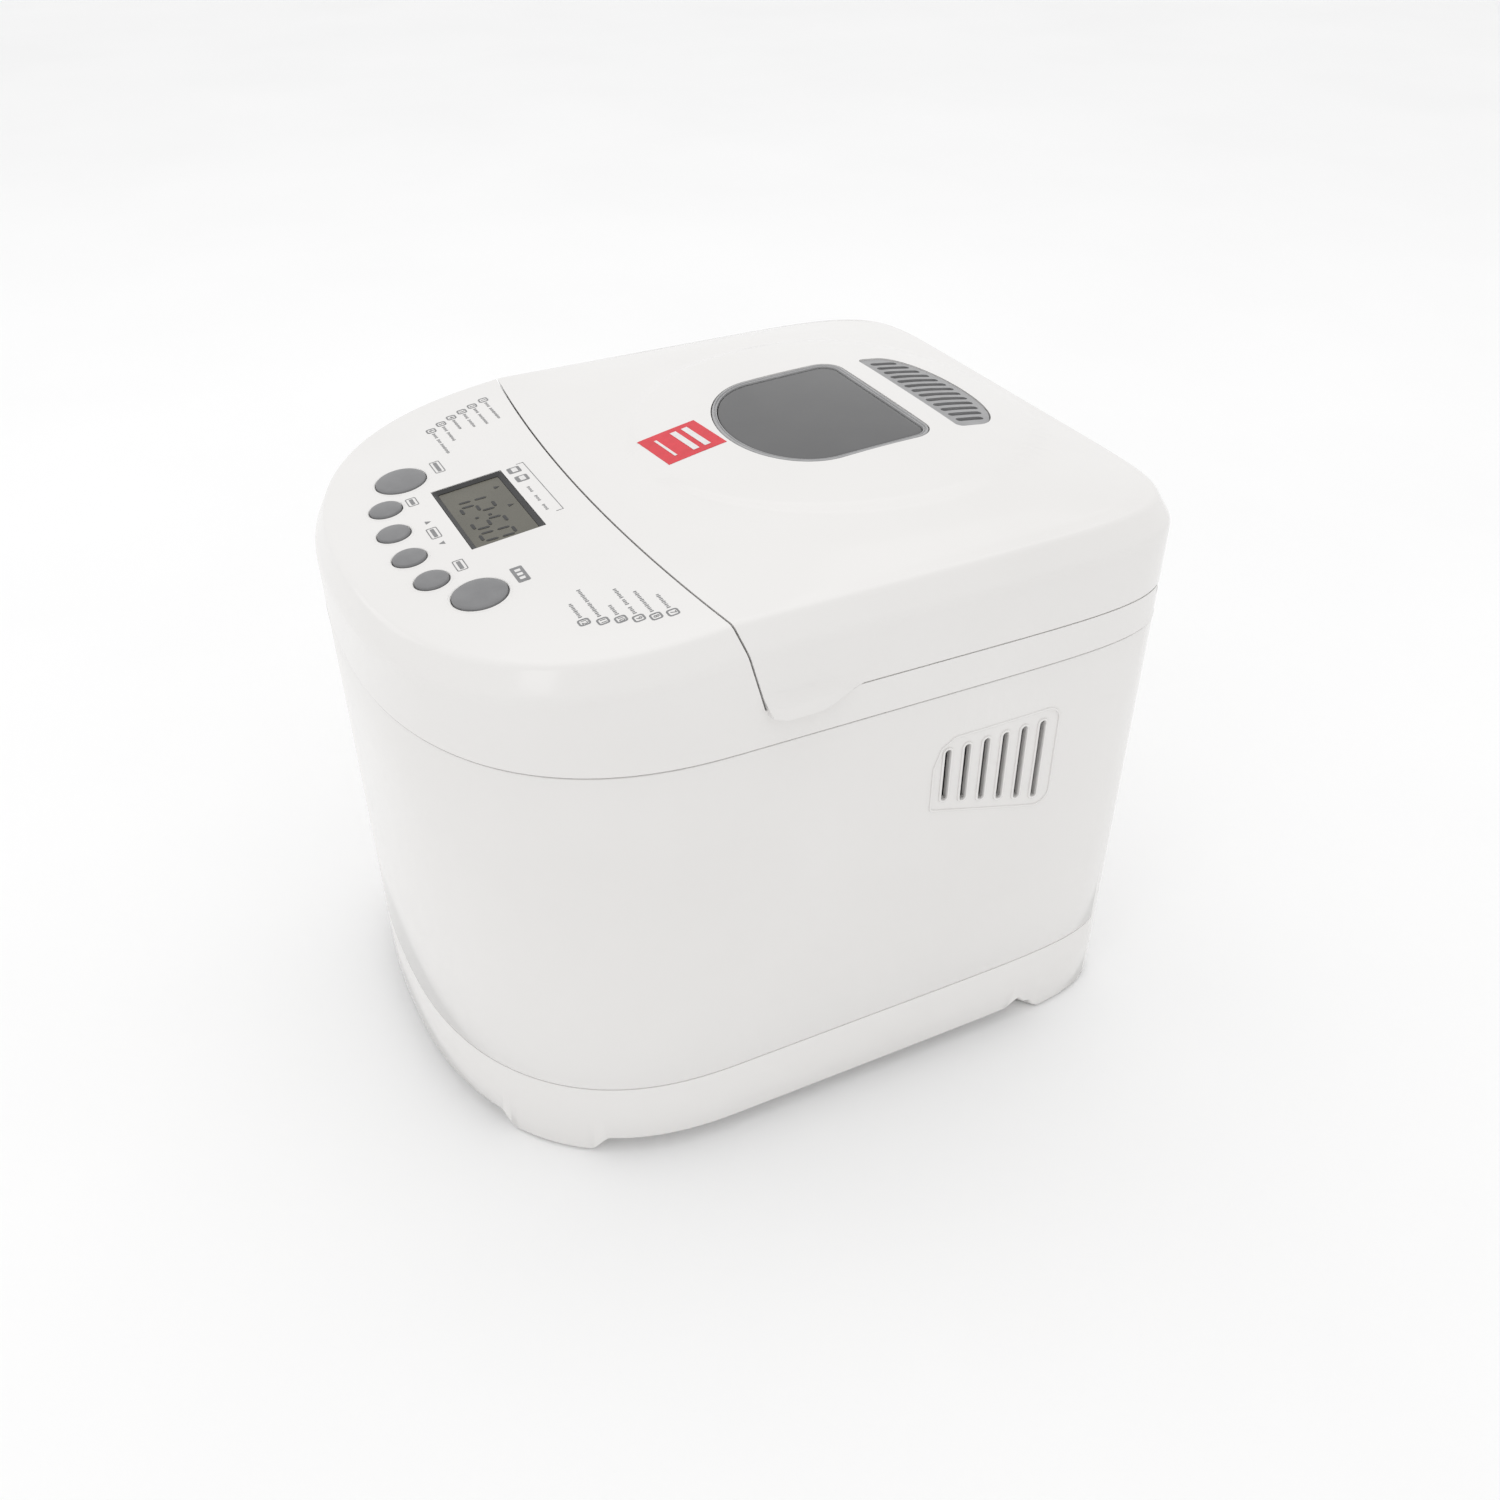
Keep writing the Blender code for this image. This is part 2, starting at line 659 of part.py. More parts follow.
def make_lid_outer(white):
    lid = loft("lid_outer", lid_rings(0.0, 0.0, LID_EDGE, (0.93, 0.82, 0.66, 0.46, 0.22)), white)
    hollow = loft("lid_hollow", lid_rings(CASE_WALL, CASE_WALL, LID_EDGE - 0.010,
                                          (0.93, 0.74, 0.40)))
    low, high = LID_EDGE - 0.020, SEAM_TOP + 0.060
    cut(hollow, parting_prism("lid_front_wall", PARTING_HALF_GAP + CASE_WALL, False, low, high))
    cut(lid, hollow)
    cut(lid, parting_prism("lid_front_trim", PARTING_HALF_GAP, False, low, high))
    for side in (-1, 1):
        join(lid, make_tab(side))
        middle = side * HINGE_LUG_X
        notch = HINGE_LUG_HALF + HINGE_SIDE_GAP
        cut(lid, box("lid_hinge_notch", (middle - notch, HINGE_Y - LUG_HALF, LID_EDGE - 0.01),
                     (middle + notch, REAR_Y + 0.01, HINGE_Z + LUG_NOTCH_RISE)))
        for edge in (-1, 1):
            near = middle + edge * (notch + LUG_SIDE_ROOM)
            far = near + edge * LID_LUG_WIDTH
            lug = box("lid_hinge_lug", (min(near, far), HINGE_Y - LUG_HALF, LID_EDGE + 0.0005),
                      (max(near, far), HINGE_Y + LID_LUG_HALF, HINGE_Z + LID_LUG_HALF))
            join(lid, lug)
    cut(lid, rod("lid_hinge_bore", (-PIN_BORE_REACH, HINGE_Y, HINGE_Z),
                 (PIN_BORE_REACH, HINGE_Y, HINGE_Z), HINGE_PIN_RADIUS + RUNNING_GAP, sides=16))
    posts = [((x, y, LINER_Z + LINER_THICKNESS + GAP), (x, y, lid_height(x, y) - CASE_WALL / 2))
             for x, y in lid_bosses()]
    for index, (start, end) in enumerate(posts):
        join(lid, rod("lid_boss_%d" % index, start, end, BOSS_RADIUS, sides=16))
        x, y = start[:2]
        join(lid, rod("lid_spigot_%d" % index, (x, y, LINER_Z - 0.0005), (x, y, LINER_Z + 0.006),
                      BOSS_SPIGOT, sides=12))
    window = d_outline(WINDOW_HALF, WINDOW_FRONT_Y, WINDOW_SHOULDER_Y, WINDOW_REAR_Y,
                       WINDOW_CORNER, BEZEL_WIDTH + GAP)
    grille = d_outline(WINDOW_HALF, GRILLE_REAR_Y, GRILLE_SHOULDER_Y, GRILLE_FRONT_Y, 0.003, GAP)
    for name, outline in (("window_opening", window), ("grille_opening", grille)):
        cut(lid, loft(name, [[(x, y, z) for x, y in outline]
                             for z in (LINER_Z + LINER_THICKNESS + 0.004, high)]))
    return lid


def lid_plane(front_y, rear_y):
    """Mid place and tilt of a flat piece that follows the crown between two lines."""
    front, rear = lid_height(0.0, front_y), lid_height(0.0, rear_y)
    tilt = math.atan2(rear - front, rear_y - front_y)
    return (front_y + rear_y) / 2, (front + rear) / 2, tilt


def make_window(glass, trim):
    """Glass pane with a bezel around it, both set into the lid's skin."""
    middle_y, middle_z, tilt = lid_plane(WINDOW_FRONT_Y, WINDOW_REAR_Y)
    stretch = 1 / math.cos(tilt)

    def flat(grow):
        loop = d_outline(WINDOW_HALF, WINDOW_FRONT_Y, WINDOW_SHOULDER_Y, WINDOW_REAR_Y,
                         WINDOW_CORNER, grow)
        return [(x, (y - middle_y) * stretch) for x, y in loop]

    sink = 0.0004
    pane_place = (0.0, middle_y, middle_z - PANE_THICKNESS / 2 - sink)
    plate("window_pane", [flat(-GAP)], PANE_THICKNESS, pane_place, glass, (tilt, 0.0, 0.0))
    plate("window_bezel", [flat(BEZEL_WIDTH), flat(0.0)], PANE_THICKNESS, pane_place, trim,
          (tilt, 0.0, 0.0))
    inner = [(x, y) for x, y in d_outline(WINDOW_HALF, WINDOW_FRONT_Y, WINDOW_SHOULDER_Y,
                                          WINDOW_REAR_Y, WINDOW_CORNER, 0.004)]
    place = (0.0, 0.0, LINER_Z + LINER_THICKNESS + GAP + PANE_THICKNESS / 2)
    plate("inner_window_pane", [inner], PANE_THICKNESS, place, glass)


def make_lid_grille(grey):
    """Steam vent with slots along Y, in the lid's skin behind the window."""
    middle_y, middle_z, tilt = lid_plane(GRILLE_FRONT_Y, GRILLE_REAR_Y)
    stretch = 1 / math.cos(tilt)

    def flat(loop):
        return [(x, (y - middle_y) * stretch) for x, y in loop]

    outline = d_outline(WINDOW_HALF, GRILLE_REAR_Y, GRILLE_SHOULDER_Y, GRILLE_FRONT_Y, 0.003)
    loops = [flat(outline)]
    pitch = 2 * (WINDOW_HALF - 0.004) / GRILLE_SLOTS
    for index in range(GRILLE_SLOTS):
        x = (index - (GRILLE_SLOTS - 1) / 2) * pitch
        depth = (GRILLE_REAR_Y - GRILLE_SHOULDER_Y) * math.sqrt(1 - (x / WINDOW_HALF) ** 2)
        low, high = GRILLE_FRONT_Y + 0.0030, GRILLE_SHOULDER_Y + depth - 0.0035
        half = GRILLE_SLOT_WIDTH / 2
        loops.append(flat([(x - half, low), (x + half, low), (x + half, high), (x - half, high)]))
    place = (0.0, middle_y, middle_z - GRILLE_THICKNESS / 2 - 0.0004)
    plate("lid_vent_grille", loops, GRILLE_THICKNESS, place, grey, (tilt, 0.0, 0.0))


def make_lid_liner(steel):
    """Inner lid plate, with openings for the inner glass and the steam path."""
    center_y = 0.0535
    loops = [rounded_rectangle(0.1120, 0.0875, 0.0300, (0.0, center_y))]
    loops.append(d_outline(WINDOW_HALF, WINDOW_FRONT_Y, WINDOW_SHOULDER_Y, WINDOW_REAR_Y,
                           WINDOW_CORNER, -0.002))
    for index in range(5):
        x = (index - 2) * 0.014
        loops.append(rounded_rectangle(0.0035, 0.009, 0.003, (x, 0.108), steps=2))
    for x, y in lid_bosses():
        loops.append(arc((x, y), BOSS_SPIGOT + GAP, 0, 330, 11))
    plate("lid_liner", loops, LINER_THICKNESS, (0.0, 0.0, LINER_Z + LINER_THICKNESS / 2), steel)


def make_hinge_pins(steel):
    reach = HINGE_LUG_HALF + HINGE_SIDE_GAP + 0.0048
    for name, side in (("left", -1), ("right", 1)):
        middle = side * HINGE_LUG_X
        rod("hinge_pin_" + name, (middle - reach, HINGE_Y, HINGE_Z),
            (middle + reach, HINGE_Y, HINGE_Z), HINGE_PIN_RADIUS, steel, sides=16)


# ---------------------------------------------------------------- control panel
def make_buttons(grey):
    under = CASE_WALL + GAP
    stem_end = under + BUTTON_FLANGE + 0.0050
    for name, (x, y, radius) in BUTTONS.items():
        profile = [(0.0, BUTTON_RISE), (radius - 0.0010, BUTTON_RISE), (radius, BUTTON_RISE - 0.0006),
                   (radius, -under), (radius + BUTTON_FLANGE, -under),
                   (radius + BUTTON_FLANGE, -under - BUTTON_FLANGE),
                   (BUTTON_STEM, -under - BUTTON_FLANGE), (BUTTON_STEM, -stem_end), (0.0, -stem_end)]
        turned(name, profile, on_panel(x, y), grey, steps=18, rotation=PANEL_TURN)
    return stem_end


def make_display(glass, dark):
    window_drop = 0.0009
    place = on_panel(DISPLAY_X, DISPLAY_Y, window_drop)
    window = rounded_rectangle(DISPLAY_HALF_X - GAP, DISPLAY_HALF_Y - GAP, 0.001, steps=2)
    plate("display_window", [window], 0.0012, place, glass, PANEL_TURN)
    module = box("display_module", (-DISPLAY_HALF_X + 0.001, -DISPLAY_HALF_Y + 0.001, -0.0052),
                 (DISPLAY_HALF_X - 0.001, DISPLAY_HALF_Y - 0.001, 0.0), dark)
    module.location = on_panel(DISPLAY_X, DISPLAY_Y, CASE_WALL + GAP)
    module.rotation_euler = PANEL_TURN


def make_control_board(green, dark, stem_end):
    outline = rounded_rectangle(0.0680, 0.0300, 0.004, steps=2)
    place = on_panel(0.0, -0.1060, BOARD_DEPTH + BOARD_THICKNESS / 2)
    plate("control_board", [outline], BOARD_THICKNESS, place, green, PANEL_TURN)
    top = -(stem_end + SWITCH_GAP)
    bottom = -(BOARD_DEPTH - GAP)
    for name, (x, y, _) in BUTTONS.items():
        switch = box(name.replace("_button", "_switch"), (-SWITCH_HALF, -SWITCH_HALF, bottom),
                     (SWITCH_HALF, SWITCH_HALF, bottom + 0.0032), dark)
        plunger = rod(name + "_plunger", (0, 0, bottom + 0.001), (0, 0, top), 0.0017, sides=12)
        for item in (switch, plunger):
            item.location = on_panel(x, y)
            item.rotation_euler = PANEL_TURN
        join(switch, plunger)


# ---------------------------------------------------------------- oven and pan
def oven_ring(inset, height):
    loop = rounded_rectangle(OVEN_HALF_X - inset, OVEN_HALF_Y - inset, OVEN_CORNER - inset,
                             (0.0, OVEN_Y))
    return [(x, y, height) for x, y in loop]


def sensor_place():
    return -0.0450, 0.1150


def make_oven_chamber(steel):
    flange_z = OVEN_TOP - OVEN_WALL
    rings = [oven_ring(-OVEN_WALL, OVEN_FLOOR - OVEN_WALL), oven_ring(-OVEN_WALL, flange_z),
             oven_ring(-OVEN_FLANGE, flange_z), oven_ring(-OVEN_FLANGE, OVEN_TOP),
             oven_ring(0.0, OVEN_TOP), oven_ring(0.0, OVEN_FLOOR)]
    chamber = loft("oven_chamber", rings, steel)
    low, high = OVEN_FLOOR - 0.01, OVEN_FLOOR + 0.01
    cut(chamber, rod("chamber_shaft_hole", (0, OVEN_Y, low), (0, OVEN_Y, high), 0.0065))
    front = OVEN_Y - OVEN_HALF_Y
    legs = [((side * ELEMENT_LEG_X, front - 0.01, ELEMENT_Z), (side * ELEMENT_LEG_X, front + 0.01,
                                                              ELEMENT_Z)) for side in (-1, 1)]
    cut(chamber, rods("element_holes", legs, ELEMENT_RADIUS + 0.0008, sides=16))
    x, z = sensor_place()
    cut(chamber, rod("sensor_hole", (x, front - 0.01, z), (x, front + 0.01, z), 0.0035, sides=16))
    return chamber


def make_heating_element(steel):
    """Rod element: one loop round the pan with two legs out through the front wall."""
    corner, leg_bend = 0.020, 0.008
    front = OVEN_Y - ELEMENT_HALF_Y
    loop = [(ELEMENT_LEG_X, OVEN_Y - OVEN_HALF_Y - 0.010)]
    loop += arc((ELEMENT_LEG_X + leg_bend, front - leg_bend), leg_bend, 180, 90, 4)
    middles = [(1, -1, -90), (1, 1, 0), (-1, 1, 90), (-1, -1, 180)]
    for side_x, side_y, start in middles:
        middle = (side_x * (ELEMENT_HALF_X - corner), OVEN_Y + side_y * (ELEMENT_HALF_Y - corner))
        loop += arc(middle, corner, start, start + 90, 5)
    loop += arc((-ELEMENT_LEG_X - leg_bend, front - leg_bend), leg_bend, 90, 0, 4)
    loop += [(-ELEMENT_LEG_X, OVEN_Y - OVEN_HALF_Y - 0.010)]
    wire("heating_element", [(x, y, ELEMENT_Z) for x, y in loop], ELEMENT_RADIUS, steel)
    for name, side in (("left", -1), ("right", 1)):
        middle = side * ELEMENT_HALF_X
        clip = box("element_clip_" + name, (middle - 0.0045, OVEN_Y - 0.006, OVEN_FLOOR + GAP),
                   (middle + 0.0045, OVEN_Y + 0.006, ELEMENT_Z + 0.001), steel)
        groove = rod("element_groove_" + name, (middle, OVEN_Y - 0.01, ELEMENT_Z),
                     (middle, OVEN_Y + 0.01, ELEMENT_Z), ELEMENT_RADIUS + GAP, sides=16)
        cut(clip, groove)


def make_sensors(steel, white):
    x, z = sensor_place()
    front = OVEN_Y - OVEN_HALF_Y - OVEN_WALL
    profile = [(0.0, 0.012), (0.0030, 0.012), (0.0030, -GAP), (0.0060, -GAP), (0.0060, -0.004),
               (0.0030, -0.004), (0.0030, -0.010), (0.0, -0.010)]
    turned("temperature_sensor", profile, (x, front, z), steel, steps=16,
           rotation=(-math.pi / 2, 0.0, 0.0))
    rod("thermal_fuse", (0.030, front - 0.0035, 0.120), (0.055, front - 0.0035, 0.120), 0.0028,
        white, sides=16)


def pan_ring(share, inset, height):
    """Ring of the tapering pan wall; share 0 is its bottom and 1 its rim."""
    half_x = PAN_BASE_HALF_X + (PAN_TOP_HALF_X - PAN_BASE_HALF_X) * share - inset
    half_y = PAN_BASE_HALF_Y + (PAN_TOP_HALF_Y - PAN_BASE_HALF_Y) * share - inset
    loop = rounded_rectangle(half_x, half_y, PAN_CORNER - inset, (0.0, OVEN_Y))
    return [(x, y, height) for x, y in loop]


def make_bread_pan(dark):
    rings = [pan_ring(0.0, 0.004, PAN_BOTTOM), pan_ring(0.04, 0.0, PAN_BOTTOM + 0.004),
             pan_ring(1.0, 0.0, PAN_TOP - PAN_WALL), pan_ring(1.0, -PAN_RIM, PAN_TOP - PAN_WALL),
             pan_ring(1.0, -PAN_RIM, PAN_TOP), pan_ring(1.0, PAN_WALL, PAN_TOP),
             pan_ring(0.04, PAN_WALL, PAN_BOTTOM + 0.004), pan_ring(0.0, 0.005, PAN_BOTTOM + PAN_WALL)]
    pan = loft("bread_pan", rings, dark)
    hole = rod("pan_shaft_hole", (0, OVEN_Y, PAN_BOTTOM - 0.01), (0, OVEN_Y, PAN_BOTTOM + 0.01),
               0.0080 + GAP)
    cut(pan, hole)
    pivot_z = PAN_TOP - HANDLE_PIVOT_DROP
    bosses = []
    for side in (-1, 1):
        near = side * (PAN_TOP_HALF_X - 0.0015)
        far = side * (PAN_TOP_HALF_X + 0.0035)
        bosses.append(rod("pan_ear", (near, OVEN_Y, pivot_z), (far, OVEN_Y, pivot_z), 0.0045,
                          sides=16))
    for boss in bosses:
        join(pan, boss)
    top, bottom = PAN_BOTTOM - GAP, OVEN_FLOOR + GAP
    foot = [(FOOT_RING_RADIUS, top), (FOOT_RING_RADIUS, bottom),
            (FOOT_RING_RADIUS - FOOT_RING_WALL, bottom), (FOOT_RING_RADIUS - FOOT_RING_WALL, top)]
    turned("pan_foot_ring", foot, (0, OVEN_Y, 0), dark, looped=True)


def make_pan_handle(steel):
    """Bail handle, folded down along the front of the pan; its origin is its hinge axis."""
    pivot_z = PAN_TOP - HANDLE_PIVOT_DROP
    side_x = PAN_TOP_HALF_X + PAN_RIM + HANDLE_CLEARANCE + HANDLE_RADIUS
    reach = PAN_TOP_HALF_Y + PAN_RIM + HANDLE_CLEARANCE + HANDLE_RADIUS
    corner = PAN_CORNER + PAN_RIM
    inner_x = PAN_TOP_HALF_X + 0.0040
    points = [(inner_x, 0.0), (side_x, 0.0), (side_x, -reach * 0.3)]
    points += arc((side_x - corner, corner - reach), corner, 0, -90, 6)
    points += arc((corner - side_x, corner - reach), corner, -90, -180, 6)
    points += [(-side_x, -reach * 0.3), (-side_x, 0.0), (-inner_x, 0.0)]
    handle = wire("pan_handle", [(x, y, 0.0) for x, y in points], HANDLE_RADIUS, steel)
    handle.location = (0.0, OVEN_Y, pivot_z)


def make_pan_drive(steel, dark):
    """Shaft through the pan floor with its seal, driving bar and kneading paddle."""
    profile = [(0.0, 0.1120), (0.0033, 0.1120), (SHAFT_RADIUS, 0.1110), (SHAFT_RADIUS, 0.0745),
               (0.0, 0.0745)]
    shaft = turned("pan_shaft", profile, (0, OVEN_Y, 0), steel, steps=24)
    bar = box("pan_drive_bar", (-0.0030, -0.0105, 0.0715), (0.0030, 0.0105, 0.0770))
    bar.location = (0, OVEN_Y, 0)
    join(shaft, bar)
    inner = SHAFT_RADIUS + RUNNING_GAP
    bush = [(0.0140, PAN_BOTTOM + PAN_WALL + 0.0030), (0.0140, PAN_BOTTOM + PAN_WALL + GAP),
            (0.0080, PAN_BOTTOM + PAN_WALL + GAP), (0.0080, PAN_BOTTOM - 0.0030),
            (inner, PAN_BOTTOM - 0.0030), (inner, PAN_BOTTOM + PAN_WALL + 0.0030)]
    turned("pan_shaft_bush", bush, (0, OVEN_Y, 0), steel, steps=24, looped=True)
    return make_paddle(dark)


def make_paddle(dark):
    bottom = PAN_BOTTOM + PAN_WALL + 0.0045
    inner = SHAFT_RADIUS + RUNNING_GAP
    hub = [(0.0075, bottom + 0.026), (0.0100, bottom), (inner, bottom), (inner, bottom + 0.026)]
    paddle = turned("kneading_paddle", hub, (0, OVEN_Y, 0), dark, steps=24, looped=True)
    rings = []
    for height, length, half in ((0.0, 0.040, 0.0035), (0.010, 0.039, 0.0028), (0.022, 0.030, 0.0020)):
        rings.append([(0.0060, -half, bottom + height + 0.0004), (length, -half, bottom + height + 0.0004),
                      (length + 0.004, half * 0.5, bottom + height + 0.0004),
                      (length, half, bottom + height + 0.0004), (0.0060, half, bottom + height + 0.0004)])
    blade = loft("paddle_blade", rings)
    blade.location = (0, OVEN_Y, 0)
    return join(paddle, blade)


def make_pan_clips(steel):
    for name, side in (("left", -1), ("right", 1)):
        near = side * (PAN_BASE_HALF_X + 0.0035)
        far = near + side * 0.0012
        low, high = sorted((near, far))
        box("pan_clip_" + name, (low, OVEN_Y - 0.010, OVEN_FLOOR + GAP),
            (high, OVEN_Y + 0.010, OVEN_FLOOR + 0.034), steel)


# ---------------------------------------------------------------- drive
def pulley_profile(radius, bore):
    """Belt seat between two flanges."""
    flange = radius + 0.0025
    return [(flange, PULLEY_TOP), (flange, PULLEY_TOP - PULLEY_FLANGE),
            (radius, PULLEY_TOP - PULLEY_FLANGE), (radius, PULLEY_BOTTOM + PULLEY_FLANGE),
            (flange, PULLEY_BOTTOM + PULLEY_FLANGE), (flange, PULLEY_BOTTOM),
            (bore, PULLEY_BOTTOM), (bore, PULLEY_TOP)]


def belt_loop(grow):
    """Outline of the belt round both pulleys, moved out by grow."""
    distance = OVEN_Y - MOTOR_Y
    large, small = LARGE_PULLEY_RADIUS + grow, MOTOR_PULLEY_RADIUS + grow
    spread = math.degrees(math.acos((large - small) / distance))
    rear = arc((0.0, OVEN_Y), large, -90 + spread, 270 - spread, 22)
    front = arc((0.0, MOTOR_Y), small, 270 - spread, 270 + spread, 8)
    return rear + front


def make_drive(steel, dark, rubber, grey):
    profile = [(0.0, OVEN_FLOOR + 0.0037), (SHAFT_RADIUS, OVEN_FLOOR + 0.0037),
               (SHAFT_RADIUS, 0.0140), (0.0, 0.0140)]
    turned("drive_shaft", profile, (0, OVEN_Y, 0), steel, steps=24)
    bore = SHAFT_RADIUS + RUNNING_GAP
    bottom = OVEN_FLOOR + 0.0016
    top = bottom + 0.0034
    dog = [(0.0, top), (0.0120, top), (0.0120, bottom), (bore, bottom), (bore, top - 0.0010),
           (0.0, top - 0.0010)]
    coupler = turned("drive_coupler", dog, (0, OVEN_Y, 0), dark, steps=24)
    for side in (-1, 1):
        near, far = sorted((side * 0.0050, side * 0.0100))
        post = box("coupler_post", (near, -0.0040, top - 0.001), (far, 0.0040, 0.0770))
        post.location = (0, OVEN_Y, 0)
        join(coupler, post)
    plate_top = CHASSIS_Z + CHASSIS_THICKNESS
    under_floor = OVEN_FLOOR - OVEN_WALL - GAP
    housing = [(0.0140, under_floor), (0.0140, plate_top + 0.004), (0.0220, plate_top + 0.004),
               (0.0220, plate_top + GAP), (0.0140, plate_top + GAP), (0.0140, PULLEY_TOP + 0.001),
               (bore, PULLEY_TOP + 0.001), (bore, under_floor)]
    turned("bearing_housing", housing, (0, OVEN_Y, 0), grey, steps=24, looped=True)
    turned("large_pulley", pulley_profile(LARGE_PULLEY_RADIUS, bore), (0, OVEN_Y, 0), dark,
           steps=32, looped=True)
    motor_bore = MOTOR_SHAFT_RADIUS + RUNNING_GAP
    turned("motor_pulley", pulley_profile(MOTOR_PULLEY_RADIUS, motor_bore), (0, MOTOR_Y, 0), dark,
           steps=24, looped=True)
    rod("motor_shaft", (0, MOTOR_Y, PULLEY_BOTTOM - 0.002), (0, MOTOR_Y, plate_top + 0.002),
        MOTOR_SHAFT_RADIUS, steel, sides=16)
    belt_height = PULLEY_TOP - PULLEY_BOTTOM - 2 * (PULLEY_FLANGE + GAP)
    plate("drive_belt", [belt_loop(GAP + BELT_THICKNESS), belt_loop(GAP)], belt_height,
          (0, 0, (PULLEY_TOP + PULLEY_BOTTOM) / 2), rubber)
    base_z = plate_top + 0.0025
    motor = [(0.0, base_z + MOTOR_HEIGHT), (0.0090, base_z + MOTOR_HEIGHT),
             (0.0090, base_z + MOTOR_HEIGHT - 0.006), (MOTOR_RADIUS - 0.003, base_z + MOTOR_HEIGHT - 0.006),
             (MOTOR_RADIUS, base_z + MOTOR_HEIGHT - 0.009), (MOTOR_RADIUS, plate_top + GAP),
             (0.0080, plate_top + GAP), (0.0080, base_z), (0.0, base_z)]
    turned("motor", motor, (0, MOTOR_Y, 0), steel, steps=24)


def chassis_posts():
    return [(-0.070, -0.1150), (0.070, -0.1150), (-0.078, 0.1050), (0.078, 0.1050)]


def make_chassis(steel):
    """Steel plate on four legs that carries the motor, the bearing and the oven."""
    top = CHASSIS_Z + CHASSIS_THICKNESS
    chassis = box("chassis", (-0.084, -0.124, CHASSIS_Z), (0.084, 0.116, top), steel)
    for index, (x, y) in enumerate(chassis_posts()):
        join(chassis, rod("chassis_leg_%d" % index, (x, y, ARCH_HEIGHT + BASE_FLOOR + GAP),
                          (x, y, CHASSIS_Z + 0.001), 0.0050, sides=16))
    for index, (x, y) in enumerate([(-0.062, 0.0), (0.062, 0.0), (-0.062, 0.1), (0.062, 0.1)]):
        join(chassis, rod("oven_post_%d" % index, (x, y, top - 0.001),
                          (x, y, OVEN_FLOOR - OVEN_WALL - GAP), 0.0050, sides=16))
    bores = [((x, y, ARCH_HEIGHT), (x, y, 0.030)) for x, y in chassis_posts()]
    cut(chassis, rods("chassis_leg_bores", bores, SCREW_RADIUS + SCREW_GAP, sides=12))
    low, high = CHASSIS_Z - 0.01, top + 0.003
    cut(chassis, rod("bearing_hole", (0, OVEN_Y, low), (0, OVEN_Y, high), 0.0140 + GAP))
    cut(chassis, rod("motor_shaft_hole", (0, MOTOR_Y, low), (0, MOTOR_Y, high), 0.0060))
    return chassis


def make_screws(steel):
    names = ("front_left", "front_right", "rear_left", "rear_right")
    for name, (x, y) in zip(names, chassis_posts()):
        head = ARCH_HEIGHT - GAP
        profile = [(0.0, 0.0180), (SCREW_RADIUS, 0.0180), (SCREW_RADIUS, head),
                   (SCREW_HEAD_RADIUS, head), (SCREW_HEAD_RADIUS * 0.8, head - 0.0016),
                   (0.0, head - 0.0016)]
        turned("base_screw_" + name, profile, (x, y, 0), steel, steps=12)


# ---------------------------------------------------------------- electrics
def make_power_board(green):
    """Upright supply board with its transformer, relay and two capacitors."""
    x = 0.0660
    board = box("power_board", (x, -0.1180, 0.0560), (x + BOARD_THICKNESS, -0.0600, 0.1500), green)
    reach = x + 0.0005
    blocks = [((x - 0.022, -0.108, 0.072), (reach, -0.076, 0.104)),
              ((x - 0.015, -0.104, 0.118), (reach, -0.086, 0.134))]
    for index, (low, high) in enumerate(blocks):
        join(board, box("board_block_%d" % index, low, high))
    for index, z in enumerate((0.112, 0.132)):
        join(board, rod("board_capacitor_%d" % index, (x - 0.016, -0.072, z), (reach, -0.072, z),
                        0.0060, sides=16))
    return board


def make_cord_inlet(dark):
    """Grommet that the supply cord would leave through; the cord itself is not part of it."""
    outside = rear_wall_y(abs(INLET_X) - INLET_FLANGE, INLET_Z + INLET_FLANGE)
    profile = [(INLET_FLANGE, INLET_PROUD), (INLET_FLANGE, GAP), (INLET_RADIUS, GAP),
               (INLET_RADIUS, -INLET_DEPTH), (INLET_BORE, -INLET_DEPTH), (INLET_BORE, INLET_PROUD)]
    turned("cord_inlet", profile, (INLET_X, outside, INLET_Z), dark, steps=24, looped=True,
           rotation=(-math.pi / 2, 0.0, 0.0))


# ---------------------------------------------------------------- assembly
def build():
    global PARTS, CUTTERS
    clear_scene()
    PARTS = new_collection("bread_machine")
    CUTTERS = new_collection("bread_machine_cutters")
    white = make_material("white_plastic", (0.86, 0.85, 0.83), 0.22)
    grey = make_material("grey_plastic", (0.30, 0.30, 0.31), 0.40)
    trim = make_material("window_trim", (0.45, 0.45, 0.46), 0.35)
    dark = make_material("dark_coating", (0.06, 0.06, 0.06), 0.45)
    glass = make_material("tinted_glass", (0.12, 0.12, 0.13), 0.10)
    steel = make_material("steel", (0.62, 0.62, 0.62), 0.30, 1.0)
    rubber = make_material("rubber", (0.04, 0.04, 0.04), 0.80)
    green = make_material("circuit_board", (0.05, 0.22, 0.10), 0.50)

    make_base(white)
    make_foot_pads(rubber)
    make_body_shell(white)
    make_top_frame(white)
    make_lid_outer(white)
    make_window(glass, trim)
    make_lid_grille(grey)
    make_lid_liner(steel)
    make_hinge_pins(steel)
    stem_end = make_buttons(grey)
    make_display(glass, dark)
    make_control_board(green, dark, stem_end)
    make_oven_chamber(steel)
    make_heating_element(steel)
    make_sensors(steel, white)
    make_bread_pan(dark)
    make_pan_handle(steel)
    make_pan_drive(steel, dark)
    make_pan_clips(steel)
    make_drive(steel, dark, rubber, grey)
    make_chassis(steel)
    make_screws(steel)
    make_power_board(green)
    make_cord_inlet(dark)


build()
